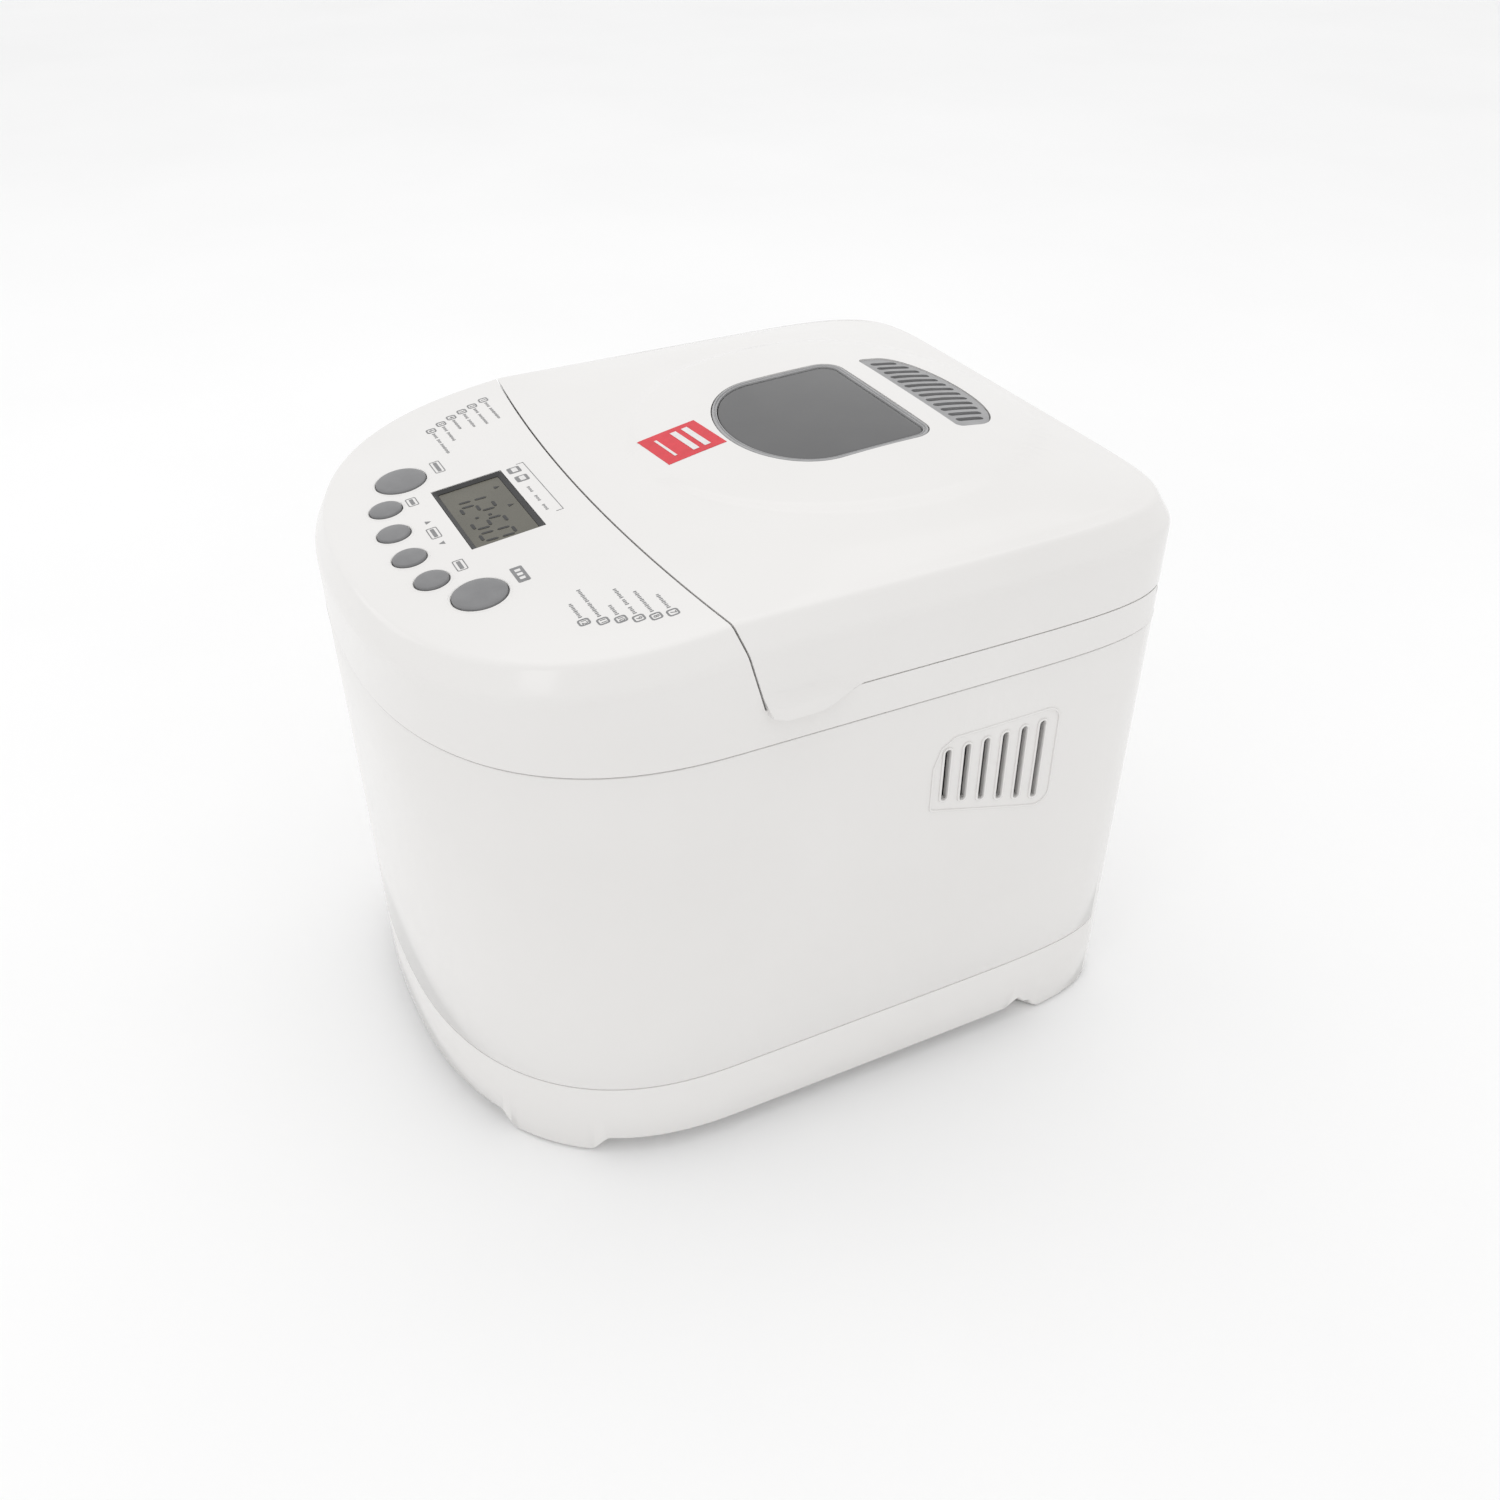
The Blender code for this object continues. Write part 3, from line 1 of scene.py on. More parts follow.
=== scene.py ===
"""Looks of a counter-top bread machine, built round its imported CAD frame.

Units are metres, +Z is up, the control panel is at the front (-Y) and the lid is hinged at
the rear. Each smooth moulded piece stands for the CAD node of the same shape.
"""
import json
import math

import bmesh
import bpy
from mathutils import Matrix, Vector


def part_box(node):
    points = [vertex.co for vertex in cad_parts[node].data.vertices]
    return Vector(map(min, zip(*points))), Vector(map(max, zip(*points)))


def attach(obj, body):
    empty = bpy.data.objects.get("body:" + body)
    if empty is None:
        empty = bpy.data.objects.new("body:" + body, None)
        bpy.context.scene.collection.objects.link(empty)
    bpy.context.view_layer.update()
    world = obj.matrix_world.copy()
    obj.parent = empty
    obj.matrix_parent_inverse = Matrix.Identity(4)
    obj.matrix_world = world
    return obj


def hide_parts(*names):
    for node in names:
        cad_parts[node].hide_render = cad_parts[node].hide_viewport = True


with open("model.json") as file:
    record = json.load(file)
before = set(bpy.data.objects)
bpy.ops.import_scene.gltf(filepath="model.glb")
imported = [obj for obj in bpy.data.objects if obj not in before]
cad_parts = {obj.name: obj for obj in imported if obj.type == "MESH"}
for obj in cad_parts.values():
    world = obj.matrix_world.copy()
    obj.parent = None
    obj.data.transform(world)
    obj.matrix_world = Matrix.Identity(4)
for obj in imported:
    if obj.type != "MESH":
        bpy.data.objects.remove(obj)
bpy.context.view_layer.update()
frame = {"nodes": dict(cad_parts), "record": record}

# ---------------------------------------------------------------- sizes from the frame
FRAME_LOW, FRAME_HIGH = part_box("top_frame")
SHELL_LOW, SHELL_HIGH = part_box("body_shell")
HALF_WIDTH = FRAME_HIGH.x
REAR_Y = FRAME_HIGH.y
FRONT_Y = FRAME_LOW.y
BASE_TOP = SHELL_LOW.z
SHELL_TOP = SHELL_HIGH.z
MOUTH_HALF = (0.0930, 0.0810)
MOUTH_CENTER_Y = sum(corner.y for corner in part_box("oven_chamber")) / 2
HINGE_Y = sum(corner.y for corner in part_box("hinge_pin_left")) / 2
HINGE_Z = sum(corner.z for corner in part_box("hinge_pin_left")) / 2

# outline of the casing
WIDEST_Y = -0.046
FRONT_REACH = WIDEST_Y - FRONT_Y
REAR_REACH = REAR_Y - WIDEST_Y
FRONT_ROUNDNESS = 2.45
REAR_ROUNDNESS = 9.0
CORNER_CROWDING = 0.8       # how strongly outline points gather at the rear corners
OUTLINE_POINTS = 480
SIDE_TAPER = 0.006

# heights and walls
GAP = 0.0003
WALL = 0.0025
ARCH_HEIGHT = 0.0085
FOOT_UNDERSIDE = 0.0010
FLOOR_TOP = 0.0115
LIP_HEIGHT = 0.0040
LID_EDGE = 0.2160
SEAM_TOP = 0.2508
SLOPE_START = -0.046
PANEL_SLOPE = 0.127
LID_EDGE_SLOPE = 0.012
CROWN_RISE = 0.0117
CROWN_PEAK_Y = 0.080
BEVEL_DROP = 0.0108
BEVEL_INSET = 0.0055
EDGE_ROUNDING = 0.0022
DECK_TOP = LID_EDGE - GAP
DECK_UNDERSIDE = DECK_TOP - 0.0067
PANEL_TILT = math.atan(PANEL_SLOPE)

# parting line between panel and lid
PARTING_MIDDLE_Y = -0.0562
PARTING_BOW = 0.0078
PARTING_LEAN = 0.28
PARTING_HALF_GAP = 0.0004
HINGE_RELIEF_HALF = 0.1200

# feet
FOOT_FRONT_Y = -0.1080
FOOT_REAR_Y = 0.1060
FOOT_INNER_X = 0.0850
FOOT_RAMP = 0.0080
NOTCH_Y = 0.0970
NOTCH_HALF = 0.0045
NOTCH_HEIGHT = 0.0050

# finger tabs
TAB_REACH = 0.0047
TAB_FRONT_Y = -0.0385
TAB_REAR_Y = 0.001
TAB_BOTTOM = 0.2126
TAB_TOP = 0.2218

# hinge lugs: one on the casing between two on the lid, on each side
LUG_X = 0.0500
LUG_RADIUS = 0.0043
LUG_BORE = 0.0021
CASING_LUG_HALF = 0.0040
LID_LUG_NEAR = 0.0050
LID_LUG_FAR = 0.0100
LUG_SLOT_HALF = 0.0048

# lid furniture
RING_CENTER_Y = 0.0603
RING_RADIUS = 0.0885
RING_DEPTH = 0.00085
WINDOW = (0.0420, 0.0120, 0.0400, 0.0815, 0.0070)
GRILLE = (0.0420, 0.1240, 0.1060, 0.0960, 0.0030)
BEZEL_WIDTH = 0.0024
GRILLE_SLOTS = 13
GRILLE_SLOT_WIDTH = 0.0032
LABEL_MIDDLE = (-0.0076, -0.0070)
LABEL_HALF = 0.0136
LABEL_TURN = math.radians(5.6)

# control panel
BIG_BUTTON = 0.0105
SMALL_BUTTON = 0.0066
BUTTONS = {
    "menu": (-0.0530, -0.1145, BIG_BUTTON),
    "start_stop": (0.0530, -0.1145, BIG_BUTTON),
    "loaf_size": (-0.0324, -0.1265, SMALL_BUTTON),
    "time_up": (-0.0111, -0.1290, SMALL_BUTTON),
    "time_down": (0.0111, -0.1290, SMALL_BUTTON),
    "crust": (0.0324, -0.1265, SMALL_BUTTON),
}
DISPLAY = (-0.0080, -0.0918, 0.0278, 0.0152)

# print on the panel: strokes that stand in for words, numbered badges and their labels
STROKE_PITCH = 0.0011
STROKE_WIDTH = 0.0006
STROKE_HEIGHTS = (1.0, 0.7, 0.85, 0.7)
BADGE_SIDE = 0.0044
LEFT_BADGES = [(-0.1065, -0.0611), (-0.1038, -0.0672), (-0.1014, -0.0728), (-0.0987, -0.0786),
               (-0.0954, -0.0843), (-0.0915, -0.0900)]
RIGHT_BADGES = [(0.1061, -0.0616), (0.1048, -0.0674), (0.1023, -0.0728), (0.0991, -0.0782),
                (0.0964, -0.0838), (0.0930, -0.0896)]
LEFT_WORDS = [(0.0060, 0.0135), (0.0060, 0.0120), (0.0060, 0.0085), (0.0110,), (0.0060, 0.0100),
              (0.0060, 0.0042, 0.0110)]
RIGHT_WORDS = [(0.0105,), (0.0165,), (0.0060, 0.0042, 0.0080), (0.0075,), (0.0105, 0.0095),
               (0.0110,)]
LABELS = [(-0.0560, -0.0979, 0.0056), (-0.0327, -0.1155, 0.0036), (-0.0021, -0.1154, 0.0046),
          (0.0280, -0.1142, 0.0042)]

# side vents
VENT_SLOTS = 6
VENT_FIRST_Y = 0.0418
VENT_PITCH = 0.0090
VENT_SLOT_WIDTH = 0.0030
VENT_TOP = 0.1735
VENT_BOTTOM = 0.1490
VENT_FALL = 0.0027
VENT_MARGIN = 0.0055
VENT_CORNER = 0.006

# cord inlet
INLET_BORE = 0.0063


# ---------------------------------------------------------------- materials
def shader_of(material):
    material.use_nodes = True
    return material.node_tree, material.node_tree.nodes["Principled BSDF"]


def surface(name, dark, light, roughness, metallic=0.0, scale=60.0, stretch=(1, 1, 1),
            bump=0.00002, bump_scale=900.0, coat=0.0, rough_spread=0.05, specular=0.5):
    """Two near tones mixed by noise, with a fine grain in the surface and its gloss."""
    material = bpy.data.materials.new(name)
    tree, shader = shader_of(material)
    make, link = tree.nodes.new, tree.links.new
    place = make("ShaderNodeTexCoord")
    squeeze = make("ShaderNodeMapping")
    squeeze.inputs["Scale"].default_value = stretch
    link(place.outputs["Object"], squeeze.inputs["Vector"])
    cloud = make("ShaderNodeTexNoise")
    cloud.inputs["Scale"].default_value = scale
    cloud.inputs["Detail"].default_value = 4.0
    link(squeeze.outputs["Vector"], cloud.inputs["Vector"])
    ramp = make("ShaderNodeValToRGB")
    ramp.color_ramp.elements[0].position = 0.32
    ramp.color_ramp.elements[1].position = 0.68
    ramp.color_ramp.elements[0].color = (*dark, 1.0)
    ramp.color_ramp.elements[1].color = (*light, 1.0)
    link(cloud.outputs["Fac"], ramp.inputs["Fac"])
    link(ramp.outputs["Color"], shader.inputs["Base Color"])
    spread = make("ShaderNodeMapRange")
    spread.inputs["To Min"].default_value = roughness - rough_spread
    spread.inputs["To Max"].default_value = roughness + rough_spread
    link(cloud.outputs["Fac"], spread.inputs["Value"])
    link(spread.outputs["Result"], shader.inputs["Roughness"])
    grain = make("ShaderNodeTexNoise")
    grain.inputs["Scale"].default_value = bump_scale
    grain.inputs["Detail"].default_value = 2.0
    link(squeeze.outputs["Vector"], grain.inputs["Vector"])
    relief = make("ShaderNodeBump")
    relief.inputs["Strength"].default_value = 0.35
    relief.inputs["Distance"].default_value = bump
    link(grain.outputs["Fac"], relief.inputs["Height"])
    link(relief.outputs["Normal"], shader.inputs["Normal"])
    shader.inputs["Metallic"].default_value = metallic
    shader.inputs["Coat Weight"].default_value = coat
    shader.inputs["Coat Roughness"].default_value = 0.08
    shader.inputs["Specular IOR Level"].default_value = specular
    return material


def make_materials():
    return {
        "white_plastic": surface("moulded_white", (0.775, 0.762, 0.748), (0.800, 0.788, 0.775),
                                 0.20, scale=9.0, coat=0.25, bump=0.00001, bump_scale=420.0),
        "grey_plastic": surface("moulded_grey", (0.185, 0.185, 0.190), (0.215, 0.215, 0.220), 0.36,
                                scale=120.0, bump=0.00003),
        "grille_grey": surface("grille_grey", (0.28, 0.28, 0.285), (0.33, 0.33, 0.335), 0.38,
                               scale=120.0, bump=0.00003),
        "window_trim": surface("trim_grey", (0.34, 0.34, 0.345), (0.39, 0.39, 0.395), 0.25,
                               scale=90.0, bump=0.00002),
        "dark_plastic": surface("moulded_black", (0.012, 0.012, 0.012), (0.022, 0.022, 0.023), 0.42,
                                scale=150.0, bump=0.00004),
        "glass": surface("smoked_glass", (0.080, 0.080, 0.082), (0.100, 0.100, 0.102), 0.20,
                         scale=14.0, bump=0.00001, bump_scale=1500.0, specular=0.45),
        "lcd": surface("display_face", (0.092, 0.087, 0.066), (0.108, 0.102, 0.078), 0.25,
                       scale=60.0, bump=0.000005),
        "steel": surface("brushed_steel", (0.50, 0.50, 0.495), (0.62, 0.62, 0.615), 0.30, 1.0,
                         scale=40.0, stretch=(1, 1, 14), bump=0.00002, rough_spread=0.09),
        "coated_metal": surface("non_stick_coating", (0.030, 0.030, 0.031), (0.060, 0.060, 0.062),
                                0.38, 0.2, scale=700.0, bump=0.00004, bump_scale=1400.0),
        "rubber": surface("rubber", (0.014, 0.014, 0.014), (0.028, 0.028, 0.028), 0.75,
                          scale=200.0, bump=0.00006),
        "circuit_board": surface("circuit_board", (0.010, 0.085, 0.035), (0.025, 0.160, 0.065),
                                 0.40, scale=320.0, stretch=(1, 6, 1), bump=0.00004),
        "ceramic_white": surface("glazed_ceramic", (0.70, 0.68, 0.63), (0.78, 0.76, 0.71), 0.15,
                                 scale=80.0, coat=0.4),
        "print_grey": surface("grey_print", (0.200, 0.200, 0.205), (0.240, 0.240, 0.245), 0.40,
                              scale=400.0, bump=0.00001),
        "print_light": surface("light_print", (0.72, 0.71, 0.70), (0.78, 0.77, 0.76), 0.35,
                               scale=400.0, bump=0.00001),
        "print_red": surface("red_print", (0.62, 0.006, 0.022), (0.70, 0.010, 0.030), 0.30,
                             scale=200.0, bump=0.00001),
    }


# ---------------------------------------------------------------- mesh helpers
def finish_piece(name, shape, slot, body, material=None, replaced=(), sharp=32.0):
    """Turn a bmesh into a shown piece that rides on a body."""
    bmesh.ops.recalc_face_normals(shape, faces=shape.faces)
    mesh = bpy.data.meshes.new(name)
    shape.to_mesh(mesh)
    shape.free()
    item = bpy.data.objects.new(name, mesh)
    bpy.context.scene.collection.objects.link(item)
    return dress(item, slot, body, material, replaced, sharp)


def dress(item, slot, body, material=None, replaced=(), sharp=32.0):
    mesh = item.data
    mesh.materials.clear()
    mesh.materials.append(MATERIALS[material or slot])
    mesh.shade_smooth()
    mesh.set_sharp_from_angle(angle=math.radians(sharp))
    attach(item, body)
    if replaced:
        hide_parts(*replaced)
    return item


def carve(target, cutter, operation="DIFFERENCE"):
    """Apply one exact Boolean to a mesh object and remove the cutter."""
    modifier = target.modifiers.new("carve", "BOOLEAN")
    modifier.operation = operation
    modifier.solver = "EXACT"
    modifier.object = cutter
    bpy.context.view_layer.update()
    graph = bpy.context.evaluated_depsgraph_get()
    result = bpy.data.meshes.new_from_object(target.evaluated_get(graph))
    target.modifiers.clear()
    target.data = result
    bpy.data.objects.remove(cutter, do_unlink=True)
    return target


def loose(name, shape):
    bmesh.ops.recalc_face_normals(shape, faces=shape.faces)
    mesh = bpy.data.meshes.new(name)
    shape.to_mesh(mesh)
    shape.free()
    item = bpy.data.objects.new(name, mesh)
    bpy.context.scene.collection.objects.link(item)
    return item


def add_loft(shape, rings, closed=False):
    """Skin through rings of equal count; both ends are capped unless it closes on itself."""
    rows = [[shape.verts.new(point) for point in ring] for ring in rings]
    pairs = list(zip(rows, rows[1:]))
    if closed:
        pairs.append((rows[-1], rows[0]))
    for low, high in pairs:
        for index in range(len(low)):
            after = (index + 1) % len(low)
            shape.faces.new((low[index], low[after], high[after], high[index]))
    if not closed:
        shape.faces.new(rows[0][::-1])
        shape.faces.new(rows[-1])


def loft(name, rings, closed=False):
    shape = bmesh.new()
    add_loft(shape, rings, closed)
    return loose(name, shape)


def add_box(shape, low, high, turn=None):
    low, high = Vector(low), Vector(high)
    matrix = Matrix.Translation((low + high) / 2) @ Matrix.Diagonal((*(high - low), 1.0))
    bmesh.ops.create_cube(shape, size=1.0, matrix=(turn or Matrix()) @ matrix)


def add_rod(shape, start, end, radius, sides=64):
    start, end = Vector(start), Vector(end)
    turn = (end - start).to_track_quat("Z", "Y").to_matrix().to_4x4()
    bmesh.ops.create_cone(shape, cap_ends=True, segments=sides, radius1=radius, radius2=radius,
                          depth=(end - start).length,
                          matrix=Matrix.Translation((start + end) / 2) @ turn)


def add_turned(shape, profile, matrix, steps=64, looped=False):
    """Revolve (radius, height) points about the local Z axis."""
    rows = []
    for radius, height in profile:
        count = steps if radius > 0 else 1
        angles = [math.tau * index / count for index in range(count)]
        rows.append([shape.verts.new(matrix @ Vector((radius * math.cos(angle),
                                                     radius * math.sin(angle), height)))
                     for angle in angles])
    pairs = list(zip(rows, rows[1:])) + ([(rows[-1], rows[0])] if looped else [])
    for high, low in pairs:
        for index in range(steps):
            after = (index + 1) % steps
            corners = list(dict.fromkeys([high[index % len(high)], high[after % len(high)],
                                          low[after % len(low)], low[index % len(low)]]))
            if len(corners) > 2:
                shape.faces.new(corners)


def bend(before, corner, after, radius, steps=5):
    """Round a profile's corner: points of a curve between two places near it."""
    before, corner, after = Vector(before), Vector(corner), Vector(after)
    start = corner + (before - corner).normalized() * radius
    end = corner + (after - corner).normalized() * radius
    places = []
    for index in range(steps + 1):
        t = index / steps
        places.append(tuple(start * (1 - t) ** 2 + corner * 2 * t * (1 - t) + end * t ** 2))
    return places


def arc(center, radius, start, end, steps):
    places = []
    for index in range(steps + 1):
        angle = math.radians(start + (end - start) * index / steps)
        places.append((center[0] + radius * math.cos(angle), center[1] + radius * math.sin(angle)))
    return places


def rounded_rectangle(half_x, half_y, corner, center=(0.0, 0.0), steps=10):
    places = []
    for turn, (side_x, side_y) in enumerate([(1, 1), (-1, 1), (-1, -1), (1, -1)]):
        middle = (center[0] + side_x * (half_x - corner), center[1] + side_y * (half_y - corner))
        places += arc(middle, corner, 90 * turn, 90 * turn + 90, steps)
    return places


def d_outline(shape_sizes, grow=0.0):
    """D shape: an elliptic end and a flat end with small corners, anticlockwise."""
    half_x, round_y, shoulder_y, flat_y, corner = shape_sizes
    toward_flat = 1 if flat_y > round_y else -1
    wide = half_x + grow
    flat = flat_y + toward_flat * grow
    deep = abs(shoulder_y - round_y) + grow
    bend_radius = max(corner + grow, 0.0008)
    places = []
    for index in range(61):
        angle = math.pi * index / 60
        places.append((wide * math.cos(angle), shoulder_y - toward_flat * deep * math.sin(angle)))
    for side, start in ((-1, 180), (1, 90)):
        middle = (side * (wide - bend_radius), flat - toward_flat * bend_radius)
        turn = arc((0, 0), bend_radius, start, start - 90, 8)
        places += [(middle[0] + x, middle[1] + toward_flat * y) for x, y in turn]
    return places if toward_flat < 0 else places[::-1]


def smoothstep(value):
    value = min(1.0, max(0.0, value))
    return value * value * (3 - 2 * value)


# ---------------------------------------------------------------- casing surfaces
def casing_outline(inset):
    """Casing outline seen from above, moved in by inset."""
    wide = HALF_WIDTH - inset
    places = []
    for index in range(OUTLINE_POINTS):
        turn = math.tau * index / OUTLINE_POINTS
        if turn < math.pi:
            turn += CORNER_CROWDING / 4 * math.sin(4 * turn)
            reach, power = REAR_REACH - inset, REAR_ROUNDNESS
        else:
            reach, power = FRONT_REACH - inset, FRONT_ROUNDNESS
        across, along = math.cos(turn), math.sin(turn)
        radius = (abs(across) ** power + abs(along) ** power) ** (-1 / power)
        places.append((wide * radius * across, reach * radius * along + WIDEST_Y))
    return places


def wall_inset(height):
    return (SEAM_TOP - BEVEL_DROP - height) * SIDE_TAPER


def level_ring(inset, height):
    return [(x, y, height) for x, y in casing_outline(inset + wall_inset(height))]


def panel_height(y):
    return SEAM_TOP + PANEL_SLOPE * (y - SLOPE_START)


def edge_height(y):
    if y < SLOPE_START:
        return panel_height(y)
    return SEAM_TOP + LID_EDGE_SLOPE * (y - SLOPE_START)


def crown_height(x, y):
    if y <= SLOPE_START:
        return panel_height(y)
    if y < CROWN_PEAK_Y:
        along = math.sin(math.pi / 2 * (y - SLOPE_START) / (CROWN_PEAK_Y - SLOPE_START))
    else:
        rear = REAR_Y - BEVEL_INSET
        along = math.cos(math.pi / 2 * min(1.0, (y - CROWN_PEAK_Y) / (rear - CROWN_PEAK_Y)))
    across = 1 - min(1.0, abs(x) / (HALF_WIDTH - BEVEL_INSET)) ** 3
    return edge_height(y) + CROWN_RISE * across * along


def ring_relief(x, y):
    """Soft round step in the lid: a shallow valley that rises slowly on its outer side."""
    out = math.hypot(x, y - RING_CENTER_Y) - RING_RADIUS
    if out < 0:
        return -RING_DEPTH * smoothstep(1 + out / 0.0040)
    return -RING_DEPTH * (1 - smoothstep(out / 0.0240))


def lid_height(x, y):
    return crown_height(x, y) + ring_relief(x, y)


def parting_y(x, height):
    bow = PARTING_BOW * (x / (HALF_WIDTH - BEVEL_INSET)) ** 2
    return PARTING_MIDDLE_Y + bow + PARTING_LEAN * (SEAM_TOP - height)


def parting_prism(name, shift, toward_rear, low, high):
    reach = HALF_WIDTH * 1.3
    rings = []
    for height in (low, high):
        across = [reach * (index / 32 - 1) for index in range(65)]
        ring = [(x, parting_y(x, height) + shift, height) for x in across]
        far = REAR_REACH * 1.5 if toward_rear else -REAR_REACH * 1.5
        ring += [(reach, far, height), (-reach, far, height)]
        rings.append(ring if toward_rear else ring[::-1])
    return loft(name, rings)


def edge_profile():
    """(inset, drop) points up the rim, over the bevel and onto the top, both edges rounded."""
    rim_low, rim = (0.0, BEVEL_DROP + 0.010), (0.0, BEVEL_DROP)
    crease, top = (BEVEL_INSET, 0.0), (BEVEL_INSET + 0.010, 0.0)
    return (bend(rim_low, rim, crease, EDGE_ROUNDING)
            + bend(rim, crease, top, EDGE_ROUNDING))


def panel_matrix(x, y, lift=0.0):
    """Local frame on the control panel: X across, Y up the slope, Z out of it."""
    normal = Vector((0.0, -math.sin(PANEL_TILT), math.cos(PANEL_TILT)))
    place = Vector((x, y, panel_height(y))) + normal * lift
    return Matrix.Translation(place) @ Matrix.Rotation(PANEL_TILT, 4, "X")


# ---------------------------------------------------------------- casing pieces
def foot_edge(x, y):
    """Height of the base's lower edge: down at the four feet, up between them."""
    inside = min(abs(x) - FOOT_INNER_X, max(FOOT_FRONT_Y - y, y - FOOT_REAR_Y))
    share = smoothstep((inside + FOOT_RAMP * 0.4) / FOOT_RAMP)
    height = ARCH_HEIGHT + (FOOT_UNDERSIDE - ARCH_HEIGHT) * share
    near_notch = 1 - abs(y - NOTCH_Y) / NOTCH_HALF
    if near_notch > 0 and abs(x) > FOOT_INNER_X:
        height += NOTCH_HEIGHT * near_notch
    return height


def make_base():
    lows = [foot_edge(x, y) for x, y in casing_outline(0.0)]

    def low_ring(inset, lift):
        ring = casing_outline(inset + wall_inset(FOOT_UNDERSIDE))
        return [(x, y, low + lift) for (x, y), low in zip(ring, lows)]

    lip = WALL + GAP
    inner = lip + 0.0020
    rings = [level_ring(0.0240, ARCH_HEIGHT), level_ring(0.0205, ARCH_HEIGHT),
             low_ring(0.0185, 0.0004), low_ring(0.0175, 0.0), low_ring(0.0012, 0.0),
             low_ring(0.0004, 0.0003), low_ring(0.0, 0.0011),
             level_ring(0.0, BASE_TOP * 0.55), level_ring(0.0, BASE_TOP - 0.0008),
             level_ring(0.0002, BASE_TOP - 0.0004), level_ring(0.0006, BASE_TOP - GAP),
             level_ring(lip, BASE_TOP - GAP), level_ring(lip, BASE_TOP + LIP_HEIGHT),
             level_ring(inner, BASE_TOP + LIP_HEIGHT), level_ring(inner, FLOOR_TOP + NOTCH_HEIGHT),
             level_ring(0.0240, FLOOR_TOP)]
    base = loft("base_moulding", rings)
    slots = bmesh.new()
    for index in range(7):
        x = (index - 3) * 0.009
        add_box(slots, (x - 0.0015, -0.122, ARCH_HEIGHT - 0.004),
                (x + 0.0015, -0.074, FLOOR_TOP + 0.004))
    carve(base, loose("base_slots", slots))
    dress(base, "white_plastic", "casing", replaced=["base"])


def make_shell():
    low, high = BASE_TOP, SHELL_TOP
    rings = [level_ring(WALL, low), level_ring(0.0006, low), level_ring(0.0002, low + 0.0002),
             level_ring(0.0, low + 0.0006)]
    rings += [level_ring(0.0, low + (high - low) * share) for share in (0.25, 0.5, 0.75)]
    rings += [level_ring(0.0, high - 0.0006), level_ring(0.0002, high - 0.0002),
              level_ring(0.0006, high), level_ring(WALL, high)]
    shell = loft("shell_moulding", rings, closed=True)
    slots = bmesh.new()
    for side in (-1, 1):
        for low_z, high_z, y in vent_slots():
            near, far = sorted((side * HALF_WIDTH * 0.85, side * HALF_WIDTH * 1.1))
            add_box(slots, (near, y - VENT_SLOT_WIDTH / 2, low_z),
                    (far, y + VENT_SLOT_WIDTH / 2, high_z))
    inlet_low, inlet_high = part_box("cord_inlet")
    center = (inlet_low + inlet_high) / 2
    add_rod(slots, (center.x, REAR_Y - 0.02, center.z), (center.x, REAR_Y + 0.01, center.z),
            INLET_BORE)
    carve(shell, loose("shell_slots", slots))
    dress(shell, "white_plastic", "casing", replaced=["body_shell"])


def vent_slots():
    return [(VENT_BOTTOM - VENT_FALL * index, VENT_TOP, VENT_FIRST_Y + VENT_PITCH * index)
            for index in range(VENT_SLOTS)]


def wall_place(side, y, height, out):
    """Point on the long side wall, moved outwards."""
    inset = wall_inset(height)
    along = y - WIDEST_Y
    share = (1 - (max(along, 0.0) / (REAR_REACH - inset)) ** REAR_ROUNDNESS) ** (1 / REAR_ROUNDNESS)
    return side * ((HALF_WIDTH - inset) * share + out), y, height


def add_wall_ridge(shape, side, loop, width, rise):
    """Raised strip that follows a closed loop of (y, z) points on the side wall."""
    count = len(loop)
    profile = ((0.0, -0.0004), (0.12, rise * 0.75), (0.35, rise), (0.65, rise), (0.88, rise * 0.75),
               (1.0, -0.0004))
    outward = []
    for index in range(count):
        before, after = Vector(loop[index - 1]), Vector(loop[(index + 1) % count])
        along = (after - before).normalized()
        outward.append(Vector((along.y, -along.x)))
    rows = []
    for share, height in profile:
        row = []
        for (y, z), direction in zip(loop, outward):
            y2, z2 = y + direction.x * width * share, z + direction.y * width * share
            row.append(wall_place(side, y2, z2, height))
        rows.append(row)
    add_loft(shape, rows, closed=True)


def stadium(center_y, low, high, half):
    """Closed loop of (y, z) points round a slot, anticlockwise in that plane."""
    return (arc((center_y, high - half), half, 0, 180, 10)
            + arc((center_y, low + half), half, 180, 360, 10))


def make_vent_frames():
    slots = vent_slots()
    front = slots[0][2] - VENT_MARGIN
    rear = slots[-1][2] + VENT_MARGIN * 0.4 + VENT_MARGIN
    low_front, low_rear = slots[0][0] - 0.0035, slots[-1][0] - 0.0045
    high = VENT_TOP + 0.0045
    round_low = arc((rear - VENT_CORNER, low_rear + VENT_CORNER), VENT_CORNER, -95, 0, 8)
    round_high = arc((rear - VENT_CORNER, high - VENT_CORNER), VENT_CORNER, 0, 90, 8)
    border = round_low + round_high
    border += [(front + 0.0085, high), (front + 0.0030, high - 0.0035), (front, high - 0.0120)]
    border += arc((front + 0.001, low_front + 0.001), 0.001, 180, 265, 3)
    for name, side in (("left", -1), ("right", 1)):
        shape = bmesh.new()
        add_wall_ridge(shape, side, border, 0.0011, 0.0006)
        for low_z, high_z, y in slots:
            add_wall_ridge(shape, side, stadium(y, low_z, high_z, VENT_SLOT_WIDTH / 2 - 0.0002),
                           0.0012, 0.0007)
        finish_piece("vent_rims_" + name, shape, "white_plastic", "casing")


